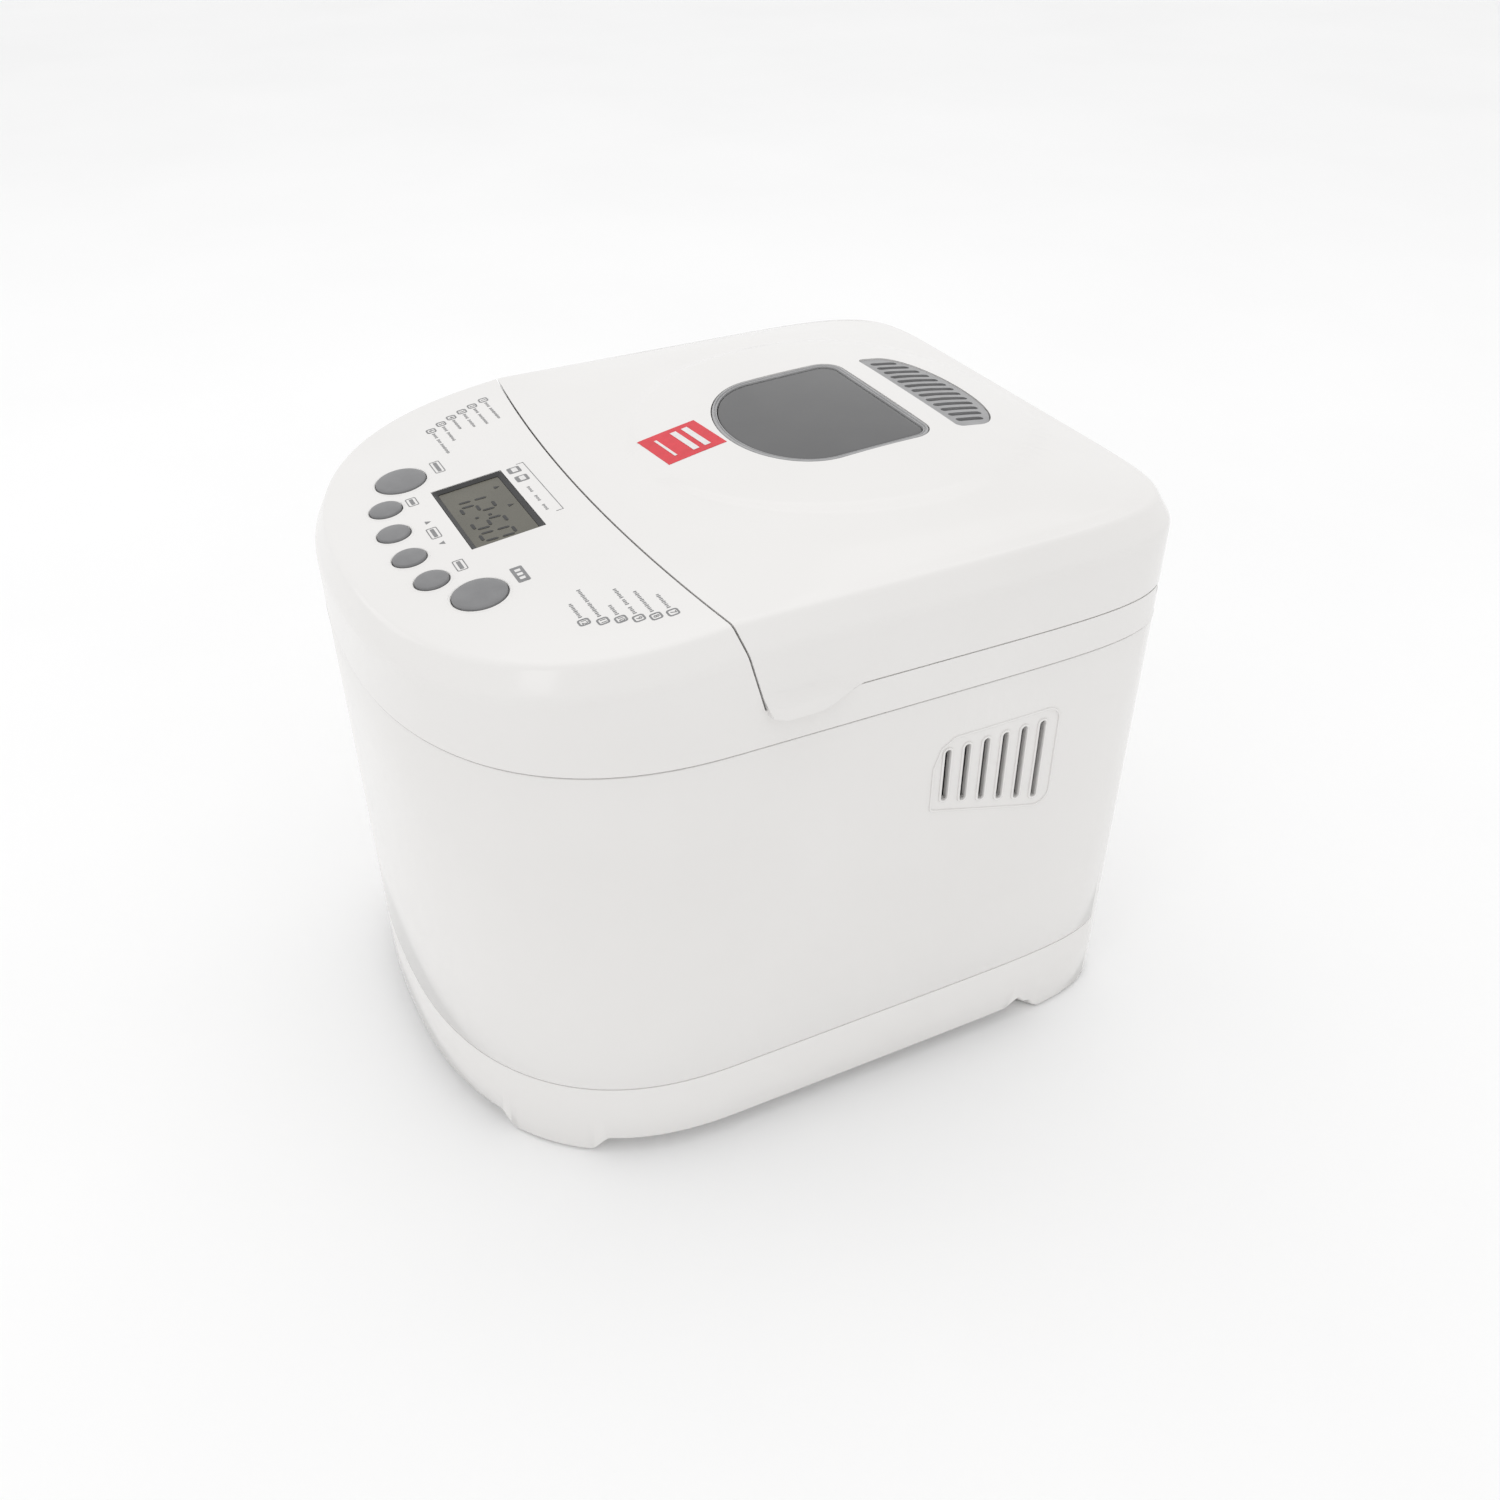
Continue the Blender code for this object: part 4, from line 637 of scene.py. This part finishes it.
def make_top_frame():
    profile = edge_profile()
    lip = WALL + GAP
    rings = [level_ring(lip, SHELL_TOP - LIP_HEIGHT), level_ring(lip, SHELL_TOP + GAP),
             level_ring(0.0003, SHELL_TOP + GAP), level_ring(-0.0002, SHELL_TOP + 0.0007),
             level_ring(-0.0002, SHELL_TOP + 0.0014), level_ring(0.0, SHELL_TOP + 0.0021)]
    rings += [[(x, y, panel_height(y) - drop) for x, y in casing_outline(inset)]
              for inset, drop in profile]
    housing = loft("panel_housing", rings)
    inner = [level_ring(lip + 0.0020, SHELL_TOP - 2 * LIP_HEIGHT),
             level_ring(lip + 0.0020, SHELL_TOP + WALL / 2),
             level_ring(WALL, SHELL_TOP + WALL * 1.5)]
    inner.append([(x, y, panel_height(y) - BEVEL_DROP) for x, y in casing_outline(WALL)])
    inner.append([(x, y, panel_height(y) - WALL)
                  for x, y in casing_outline(BEVEL_INSET + WALL * 0.7)])
    hollow = loft("housing_hollow", inner)
    high = SEAM_TOP + 0.060
    carve(hollow, parting_prism("rear_deck", -PARTING_HALF_GAP - WALL, True, DECK_UNDERSIDE, high))
    carve(housing, hollow)
    carve(housing, parting_prism("lid_space", -PARTING_HALF_GAP, True, DECK_TOP, high))
    mouth = rounded_rectangle(*MOUTH_HALF, 0.025, (0.0, MOUTH_CENTER_Y), steps=16)
    openings = bmesh.new()
    add_loft(openings, [[(x, y, z) for x, y in mouth]
                        for z in (DECK_UNDERSIDE - 0.02, DECK_TOP + 0.02)])
    relief = math.hypot(REAR_Y - HINGE_Y, HINGE_Z - LID_EDGE) + 2 * GAP
    add_box(openings, (-HINGE_RELIEF_HALF, HINGE_Y - relief, HINGE_Z - relief),
            (HINGE_RELIEF_HALF, REAR_Y + 0.01, DECK_TOP + 0.02))
    for x, y, radius in BUTTONS.values():
        turn = panel_matrix(x, y)
        add_rod(openings, turn @ Vector((0, 0, -0.01)), turn @ Vector((0, 0, 0.01)),
                radius + 0.00035)
    x, y, half_x, half_y = DISPLAY
    add_box(openings, (-half_x, -half_y, -0.010), (half_x, half_y, 0.010), panel_matrix(x, y))
    carve(housing, loose("housing_openings", openings))
    dress(housing, "white_plastic", "casing", replaced=["top_frame"], sharp=28.0)


def make_hinge_lugs():
    """Rounded barrels round the hinge pins: two on the casing, four on the lid."""
    frame_lugs, lid_lugs = bmesh.new(), bmesh.new()
    for side in (-1, 1):
        middle = side * LUG_X
        spans = [(frame_lugs, middle - CASING_LUG_HALF, middle + CASING_LUG_HALF),
                 (lid_lugs, middle - LID_LUG_FAR, middle - LID_LUG_NEAR),
                 (lid_lugs, middle + LID_LUG_NEAR, middle + LID_LUG_FAR)]
        for shape, near, far in spans:
            turn = (Matrix.Translation((near, HINGE_Y, HINGE_Z))
                    @ Matrix.Rotation(math.pi / 2, 4, "Y"))
            add_turned(shape, [(LUG_RADIUS, far - near), (LUG_RADIUS, 0.0), (LUG_BORE, 0.0),
                               (LUG_BORE, far - near)], turn, steps=32, looped=True)
        add_box(frame_lugs,
                (middle - CASING_LUG_HALF, HINGE_Y - 0.0035, DECK_UNDERSIDE + 0.001),
                (middle + CASING_LUG_HALF, HINGE_Y + 0.0035, HINGE_Z - 0.0030))
        for near in (middle - LID_LUG_FAR, middle + LID_LUG_NEAR):
            add_box(lid_lugs, (near, HINGE_Y - 0.0025, HINGE_Z + 0.0030),
                    (near + 0.0050, HINGE_Y + 0.0035, HINGE_Z + 0.0190))
    finish_piece("casing_hinge_barrels", frame_lugs, "white_plastic", "casing")
    finish_piece("lid_hinge_barrels", lid_lugs, "white_plastic", "lid")


# ---------------------------------------------------------------- lid
def tab_share(x, y):
    if abs(x) < HALF_WIDTH * 0.8 or not TAB_FRONT_Y < y < TAB_REAR_Y:
        return 0.0
    along = (y - TAB_FRONT_Y) / (TAB_REAR_Y - TAB_FRONT_Y)
    return min(1.0, along / 0.10) ** 0.6 * (1 - smoothstep((along - 0.45) / 0.55)) ** 0.8


def tab_clearance(inset, share):
    """Outward shift that brings an inset ring past the casing wall along a tab."""
    return (inset + GAP) * min(1.0, share / 0.05)


def lid_wall_ring(height, inset=0.0):
    """Ring of the lid's side wall, swelling out into the two finger tabs."""
    ring = []
    for x, y in casing_outline(inset + wall_inset(height)):
        share = tab_share(x, y)
        fall = max(0.0, (height - LID_EDGE) / (TAB_TOP - LID_EDGE))
        swell = TAB_REACH * share * max(0.0, 1 - fall) ** 1.15
        drop = (LID_EDGE - TAB_BOTTOM) * share * max(0.0, 1 - fall * 5)
        clear = tab_clearance(inset, share) if drop > 0 else 0.0
        ring.append((x + math.copysign(swell + clear, x), y, height - drop))
    return ring


def tab_foot_ring(inset, drop_share):
    """Ring at the lid's lower edge, shifted outwards along the tabs; drop_share lowers it there."""
    ring = []
    for x, y in casing_outline(inset + wall_inset(LID_EDGE)):
        share = tab_share(x, y)
        clear = tab_clearance(inset, share)
        drop = (LID_EDGE - TAB_BOTTOM) * share * drop_share
        ring.append((x + math.copysign(clear, x), y, LID_EDGE - drop))
    return ring


def make_lid():
    rings = [level_ring(0.0016, LID_EDGE), tab_foot_ring(0.0013, 0.0), tab_foot_ring(0.0010, 1.0),
             lid_wall_ring(LID_EDGE, 0.0008), lid_wall_ring(LID_EDGE + 0.0001, 0.0002),
             lid_wall_ring(LID_EDGE + 0.0006)]
    rings += [lid_wall_ring(LID_EDGE + rise) for rise in (0.0012, 0.0022, 0.0034, 0.0046, 0.0054,
                                                           0.0060, 0.0090, 0.0125)]
    for inset, drop in edge_profile():
        rings.append([(x, y, edge_height(y) - drop) for x, y in casing_outline(inset)])
    inset = BEVEL_INSET + EDGE_ROUNDING
    outer = casing_outline(inset)
    for index in range(1, 44):
        share = 1 - (index / 44) ** 1.05
        ring = []
        for x, y in outer:
            x2, y2 = x * share, WIDEST_Y + (y - WIDEST_Y) * share
            ring.append((x2, y2, lid_height(x2, y2)))
        rings.append(ring)
    lid = loft("lid_moulding", rings)

    inner = [level_ring(WALL, LID_EDGE - 0.012),
             [(x, y, edge_height(y) - BEVEL_DROP - WALL * 0.3) for x, y in casing_outline(WALL)]]
    inside = casing_outline(BEVEL_INSET + WALL)
    for share in (1.0, 0.93, 0.84, 0.74, 0.62, 0.48, 0.32, 0.14):
        ring = []
        for x, y in inside:
            x2, y2 = x * share, WIDEST_Y + (y - WIDEST_Y) * share
            ring.append((x2, y2, crown_height(x2, y2) - WALL))
        inner.append(ring)
    hollow = loft("lid_hollow", inner)
    low, high = LID_EDGE - 0.020, SEAM_TOP + 0.060
    carve(hollow, parting_prism("lid_front_wall", PARTING_HALF_GAP + WALL, False, low, high))
    carve(lid, hollow)
    carve(lid, parting_prism("lid_front_trim", PARTING_HALF_GAP, False, low, high))
    cuts = bmesh.new()
    for outline in (d_outline(WINDOW, BEZEL_WIDTH + 0.0004), d_outline(GRILLE, 0.0004)):
        add_loft(cuts, [[(x, y, z) for x, y in outline] for z in (LID_EDGE + 0.009, high)])
    for side in (-1, 1):
        middle = side * LUG_X
        add_box(cuts, (middle - LUG_SLOT_HALF, HINGE_Y - 0.004, LID_EDGE - 0.01),
                (middle + LUG_SLOT_HALF, REAR_Y + 0.01, HINGE_Z + 0.0075))
    carve(lid, loose("lid_cuts", cuts))
    dress(lid, "white_plastic", "lid", replaced=["lid_outer"], sharp=28.0)


def crowned(outline, sink):
    return [(x, y, lid_height(x, y) - sink) for x, y in outline]


def toward(outline, share):
    middle_x = sum(x for x, _ in outline) / len(outline)
    middle_y = sum(y for _, y in outline) / len(outline)
    return [(middle_x + (x - middle_x) * share, middle_y + (y - middle_y) * share)
            for x, y in outline]


def crowned_plate(outline, sink, thickness, shares=(0.96, 0.85, 0.7, 0.5, 0.3, 0.1)):
    """Closed plate that follows the lid's crown, rounded a little at its upper edge."""
    rings = [crowned(toward(outline, share), sink + thickness) for share in shares[::-1]]
    rings += [crowned(outline, sink + thickness), crowned(outline, sink + 0.0003),
              crowned(toward(outline, 0.996), sink + 0.00008), crowned(toward(outline, 0.99), sink)]
    rings += [crowned(toward(outline, share), sink) for share in shares]
    return rings


def make_window():
    bezel = bmesh.new()
    rings = [crowned(d_outline(WINDOW, BEZEL_WIDTH), 0.0025)]
    for grow, sink in ((BEZEL_WIDTH, 0.0004), (BEZEL_WIDTH - 0.0003, 0.0),
                       (BEZEL_WIDTH - 0.0009, -0.0001), (BEZEL_WIDTH - 0.0012, 0.0005),
                       (0.0008, 0.0005), (0.0005, 0.0001), (0.0002, 0.0002), (0.0, 0.0009)):
        rings.append(crowned(d_outline(WINDOW, grow), sink))
    rings.append(crowned(d_outline(WINDOW, 0.0), 0.0025))
    add_loft(bezel, rings, closed=True)
    finish_piece("window_surround", bezel, "window_trim", "lid", replaced=["window_bezel"])
    pane = bmesh.new()
    add_loft(pane, crowned_plate(d_outline(WINDOW, -GAP), 0.0007, 0.0018))
    finish_piece("window_glass", pane, "glass", "lid", replaced=["window_pane"])


def make_grille():
    half_x, rear, shoulder, front, _ = GRILLE
    plate = loft("vent_grille", crowned_plate(d_outline(GRILLE), 0.0004, 0.0020))
    slots = bmesh.new()
    pitch = 2 * (half_x - 0.004) / GRILLE_SLOTS
    for index in range(GRILLE_SLOTS):
        x = (index - (GRILLE_SLOTS - 1) / 2) * pitch
        deep = (rear - shoulder) * math.sqrt(1 - (x / half_x) ** 2)
        half = GRILLE_SLOT_WIDTH / 2
        loop = [(x + half * math.cos(a), front + 0.0030 + half + half * math.sin(a))
                for a in [math.pi + math.pi * step / 8 for step in range(9)]]
        loop += [(x + half * math.cos(a), shoulder + deep - 0.0035 - half + half * math.sin(a))
                 for a in [math.pi * step / 8 for step in range(9)]]
        add_loft(slots, [[(a, b, z) for a, b in loop] for z in (0.2450, 0.2750)])
    carve(plate, loose("grille_slots", slots))
    dress(plate, "grey_plastic", "lid", "grille_grey", ["lid_vent_grille"])


# ---------------------------------------------------------------- control panel
def make_buttons():
    under = WALL + GAP
    for name, (x, y, radius) in BUTTONS.items():
        rise = 0.0012
        dome = [(0.0, rise + 0.0004), (radius * 0.35, rise + 0.00034),
                (radius * 0.65, rise + 0.0002), (radius * 0.86, rise),
                (radius * 0.94, rise - 0.00016), (radius * 0.985, rise - 0.0005),
                (radius, rise - 0.0009), (radius, -under), (radius + 0.0012, -under),
                (radius + 0.0012, -under - 0.0012), (0.0030, -under - 0.0012),
                (0.0030, -under - 0.0062), (0.0, -under - 0.0062)]
        shape = bmesh.new()
        add_turned(shape, dome, panel_matrix(x, y), steps=72)
        finish_piece(name + "_key", shape, "grey_plastic", name, replaced=[name + "_button"])
    collars = bmesh.new()
    for x, y, radius in BUTTONS.values():
        ring = [(radius + 0.0004, -0.0004), (radius + 0.0005, 0.0002), (radius + 0.0008, 0.00035),
                (radius + 0.0011, 0.0003), (radius + 0.0016, -0.0001), (radius + 0.0016, -0.0004)]
        add_turned(collars, ring, panel_matrix(x, y), steps=72, looped=True)
    finish_piece("button_collars", collars, "white_plastic", "casing")


def add_plate(shape, loop, matrix, low=0.00002, high=0.00008):
    add_loft(shape, [[matrix @ Vector((x, y, z)) for x, y in loop] for z in (low, high)])


def add_frame(shape, outer, inner, matrix, low=0.00002, high=0.00008):
    rows = [[matrix @ Vector((x, y, z)) for x, y in loop]
            for loop, z in ((outer, low), (outer, high), (inner, high), (inner, low))]
    add_loft(shape, rows, closed=True)


def add_number(shape, text, matrix, size, lift=0.00009):
    """A generic number as thin raised print, centred on the local origin."""
    curve = bpy.data.curves.new("number", "FONT")
    curve.body = text
    curve.size = size
    curve.extrude = 0.00003
    curve.align_x = "CENTER"
    curve.align_y = "CENTER"
    curve.resolution_u = 3
    item = bpy.data.objects.new("number", curve)
    bpy.context.scene.collection.objects.link(item)
    bpy.context.view_layer.update()
    graph = bpy.context.evaluated_depsgraph_get()
    mesh = bpy.data.meshes.new_from_object(item.evaluated_get(graph))
    mesh.transform(matrix @ Matrix.Translation((0.0, 0.0, lift)))
    shape.from_mesh(mesh)
    bpy.data.objects.remove(item, do_unlink=True)
    bpy.data.meshes.remove(mesh)


def add_dashes(shape, matrix, start, lengths, height, gap=0.0010):
    """Rows of small plain strokes that stand in for words of small print."""
    direction = 1 if lengths[0] > 0 else -1
    x = start
    for length in lengths:
        strokes = max(1, round(abs(length) / STROKE_PITCH))
        for index in range(strokes):
            middle = x + direction * (index + 0.5) * STROKE_PITCH
            tall = height * STROKE_HEIGHTS[index % len(STROKE_HEIGHTS)]
            loop = rounded_rectangle(STROKE_WIDTH / 2, tall / 2, STROKE_WIDTH * 0.3,
                                     (middle, 0.0), steps=2)
            add_plate(shape, loop, matrix)
        x += length + direction * gap


def add_badge(shape, numbers, place, text):
    x, y = place
    matrix = panel_matrix(x, y)
    half = BADGE_SIDE / 2
    add_frame(shape, rounded_rectangle(half, half, 0.0012, steps=4),
              rounded_rectangle(half - 0.0007, half - 0.0007, 0.0006, steps=4), matrix)
    add_number(numbers, text, matrix, BADGE_SIDE * 0.72)


def make_panel_print():
    grey, light = bmesh.new(), bmesh.new()
    groups = ((LEFT_BADGES, LEFT_WORDS, 1, 1), (RIGHT_BADGES, RIGHT_WORDS, 7, -1))
    for places, words, first, direction in groups:
        for index, (place, lengths) in enumerate(zip(places, words)):
            add_badge(grey, grey, place, str(first + index))
            add_dashes(grey, panel_matrix(*place), direction * (BADGE_SIDE / 2 + 0.0010),
                       [direction * length for length in lengths], 0.0015)
    for x, y, half in LABELS:
        matrix = panel_matrix(x, y)
        add_frame(grey, rounded_rectangle(half, 0.0022, 0.0007, steps=3),
                  rounded_rectangle(half - 0.0004, 0.0018, 0.0004, steps=3), matrix)
        add_plate(grey, rounded_rectangle(half - 0.0011, 0.0008, 0.0003, steps=2), matrix)
    start = panel_matrix(0.0484, -0.0975)
    add_plate(grey, rounded_rectangle(0.0058, 0.0024, 0.0006, steps=3), start)
    for x in (-0.0030, 0.0, 0.0030):
        add_plate(light, rounded_rectangle(0.0009, 0.0011, 0.0002, (x, 0.0), steps=2), start,
                  0.00009, 0.00013)
    for x, way in ((-0.0120, 1), (0.0075, -1)):
        arrow = [(-0.0013, -0.0010 * way), (0.0013, -0.0010 * way), (0.0, 0.0013 * way)]
        add_plate(grey, arrow[::way], panel_matrix(x, -0.1150))
    line = panel_matrix(-0.0120, -0.0668)
    half = 0.0242
    for low, high in (((-half, -0.00015), (half, 0.00015)),
                      ((-half, -0.0030), (-half + 0.0003, 0.0)),
                      ((half - 0.0003, -0.0030), (half, 0.0))):
        add_plate(grey, [low, (high[0], low[1]), high, (low[0], high[1])], line)
    for x, y in ((-0.0318, -0.0721), (-0.0229, -0.0717)):
        add_plate(grey, rounded_rectangle(0.0027, 0.0027, 0.0007, steps=3), panel_matrix(x, y))
        add_plate(light, rounded_rectangle(0.0019, 0.0012, 0.0004, (0.0, 0.0002), steps=3),
                  panel_matrix(x, y), 0.00009, 0.00013)
    for x in (-0.0120, -0.0030, 0.0060):
        add_dashes(grey, panel_matrix(x - 0.0025, -0.0722), 0.0, [0.0050], 0.0013)
    finish_piece("panel_print", grey, "grey_plastic", "casing", "print_grey", sharp=20.0)
    finish_piece("panel_print_light", light, "white_plastic", "casing", "print_light", sharp=20.0)


SEGMENTS = {"1": "bc", "2": "abged", "5": "afgcd", "0": "abcdef"}


def segment_loops(letter, wide, tall, thick):
    """Six-sided bar of a seven-segment digit, in the digit's own plane."""
    half = thick / 2
    level = {"a": tall, "g": tall / 2, "d": 0.0}
    if letter in level:
        y, x0, x1 = level[letter], half * 1.2, wide - half * 1.2
        return [(x0, y), (x0 + half, y - half), (x1 - half, y - half), (x1, y),
                (x1 - half, y + half), (x0 + half, y + half)]
    x = 0.0 if letter in "ef" else wide
    y0, y1 = (tall / 2, tall) if letter in "bf" else (0.0, tall / 2)
    y0, y1 = y0 + half * 1.2, y1 - half * 1.2
    return [(x, y0), (x + half, y0 + half), (x + half, y1 - half), (x, y1), (x - half, y1 - half),
            (x - half, y0 + half)]


def make_display():
    x, y, half_x, half_y = DISPLAY
    matrix = panel_matrix(x, y)
    border = bmesh.new()
    outer = rounded_rectangle(half_x - GAP, half_y - GAP, 0.0010, steps=4)
    inner = rounded_rectangle(half_x - 0.0022, half_y - 0.0022, 0.0008, steps=4)
    rows = [[matrix @ Vector((a, b, z)) for a, b in loop]
            for loop, z in ((outer, -0.0030), (outer, -0.0002), (inner, -0.0012), (inner, -0.0030))]
    add_loft(border, rows, closed=True)
    finish_piece("display_border", border, "dark_plastic", "casing")
    face = bmesh.new()
    add_plate(face, rounded_rectangle(half_x - 0.0023, half_y - 0.0023, 0.0007, steps=4), matrix,
              -0.0024, -0.0014)
    finish_piece("display_face", face, "glass", "casing", "lcd", ["display_window"])
    marks = bmesh.new()
    wide, tall, thick, pitch = 0.0064, 0.0130, 0.0013, 0.0106
    left = -0.0195
    places = [("1", left), ("2", left + pitch), ("5", left + 2 * pitch + 0.0036),
              ("0", left + 3 * pitch + 0.0036)]
    for digit, start in places:
        for letter in SEGMENTS[digit]:
            loop = [(start + a + 0.10 * b, b - 0.0088)
                    for a, b in segment_loops(letter, wide, tall, thick)]
            add_plate(marks, loop, matrix, -0.00138, -0.00128)
    colon = left + 2 * pitch + 0.0006
    for lift in (0.0035, 0.0088):
        dot = rounded_rectangle(0.0007, 0.0007, 0.0002, (colon + 0.1 * lift, lift - 0.0088),
                                steps=2)
        add_plate(marks, dot, matrix, -0.00138, -0.00128)
    for mark_x, mark_y in ((-0.0170, 0.0095), (0.0010, 0.0095)):
        add_plate(marks, [(mark_x - 0.0011, mark_y - 0.0010), (mark_x + 0.0011, mark_y - 0.0010),
                          (mark_x, mark_y + 0.0012)], matrix, -0.00138, -0.00128)
    finish_piece("display_marks", marks, "dark_plastic", "casing", sharp=20.0)


def make_lid_label():
    """Plain red square where the machine carries its label, with bars for its print."""
    red, light = bmesh.new(), bmesh.new()
    middle = Vector(LABEL_MIDDLE)
    turn = Matrix.Rotation(LABEL_TURN, 2)

    def from_middle(across, up):
        return tuple(middle + turn @ Vector((across, up)))

    def on_lid(loop, low, high):
        return [[(x, y, lid_height(x, y) + lift) for x, y in loop] for lift in (low, high)]

    steps = 12
    square = []
    for side in range(4):
        for index in range(steps):
            t = -1 + 2 * index / steps
            square.append([(t, -1), (1, t), (-t, 1), (-1, -t)][side])
    square = [from_middle(a * LABEL_HALF, b * LABEL_HALF) for a, b in square]
    add_loft(red, on_lid(square, 0.00003, 0.00012))
    for offset, length, height in ((0.0068, 0.0100, 0.0014), (0.0014, 0.0100, 0.0014),
                                   (-0.0076, 0.0088, 0.0006)):
        loop = [from_middle(a * length, offset + b * height)
                for a, b in ((-1, -1), (0, -1), (1, -1), (1, 1), (0, 1), (-1, 1))]
        add_loft(light, on_lid(loop, 0.00013, 0.00022))
    finish_piece("lid_label", red, "grey_plastic", "lid", "print_red", sharp=60.0)
    finish_piece("lid_label_bars", light, "white_plastic", "lid", "print_light", sharp=60.0)


# ---------------------------------------------------------------- carried-over pieces
def dress_frame_nodes():
    """Give every CAD node that still shows the finish of its material slot."""
    for row in frame["record"]["subparts"]:
        item = frame["nodes"][row["node"]]
        item.data.materials.clear()
        item.data.materials.append(MATERIALS[row["material_slot"]])
        item.data.shade_smooth()
        item.data.set_sharp_from_angle(angle=math.radians(30.0))


# ---------------------------------------------------------------- stage
def make_stage():
    floor_shape = bmesh.new()
    bmesh.ops.create_grid(floor_shape, x_segments=1, y_segments=1, size=6.0)
    floor = loose("floor", floor_shape)
    floor.data.materials.append(surface("pale_floor", (0.93, 0.93, 0.93), (0.95, 0.95, 0.95), 0.60,
                                        scale=3.0, specular=0.1))
    world = bpy.data.worlds.new("studio")
    bpy.context.scene.world = world
    world.use_nodes = True
    sky = world.node_tree.nodes["Background"]
    sky.inputs["Color"].default_value = (1.0, 1.0, 1.0, 1.0)
    sky.inputs["Strength"].default_value = 0.97
    lamps = (("overhead", (-0.3, 0.2, 1.5), 1.5, 2.5), ("front_left", (-1.2, -1.3, 0.8), 0.8, 0.8),
             ("front_right", (0.9, -1.5, 1.0), 0.5, 0.9))
    for name, place, size, power in lamps:
        light = bpy.data.lights.new(name, "AREA")
        light.shape = "SQUARE"
        light.size = size
        light.energy = power
        lamp = bpy.data.objects.new(name, light)
        lamp.location = place
        aim = Vector((0.0, 0.0, 0.13)) - Vector(place)
        lamp.rotation_euler = aim.to_track_quat("-Z", "Y").to_euler()
        bpy.context.scene.collection.objects.link(lamp)


CAMERA_LENS = 34.8
CAMERA_PLACE = (0.5076, -0.2315, 0.5004)
CAMERA_LOOK = (-0.7294, 0.3625, -0.5802)


def make_camera():
    data = bpy.data.cameras.new("camera")
    data.lens = CAMERA_LENS
    data.sensor_width = 36.0
    camera = bpy.data.objects.new("camera", data)
    camera.location = CAMERA_PLACE
    camera.rotation_euler = Vector(CAMERA_LOOK).to_track_quat("-Z", "Y").to_euler()
    bpy.context.scene.collection.objects.link(camera)
    bpy.context.scene.camera = camera


MATERIALS = make_materials()
bpy.context.scene.view_settings.view_transform = "Standard"
make_camera()
make_stage()
dress_frame_nodes()
make_base()
make_shell()
make_vent_frames()
make_top_frame()
make_hinge_lugs()
make_lid()
make_window()
make_grille()
make_buttons()
make_panel_print()
make_display()
make_lid_label()
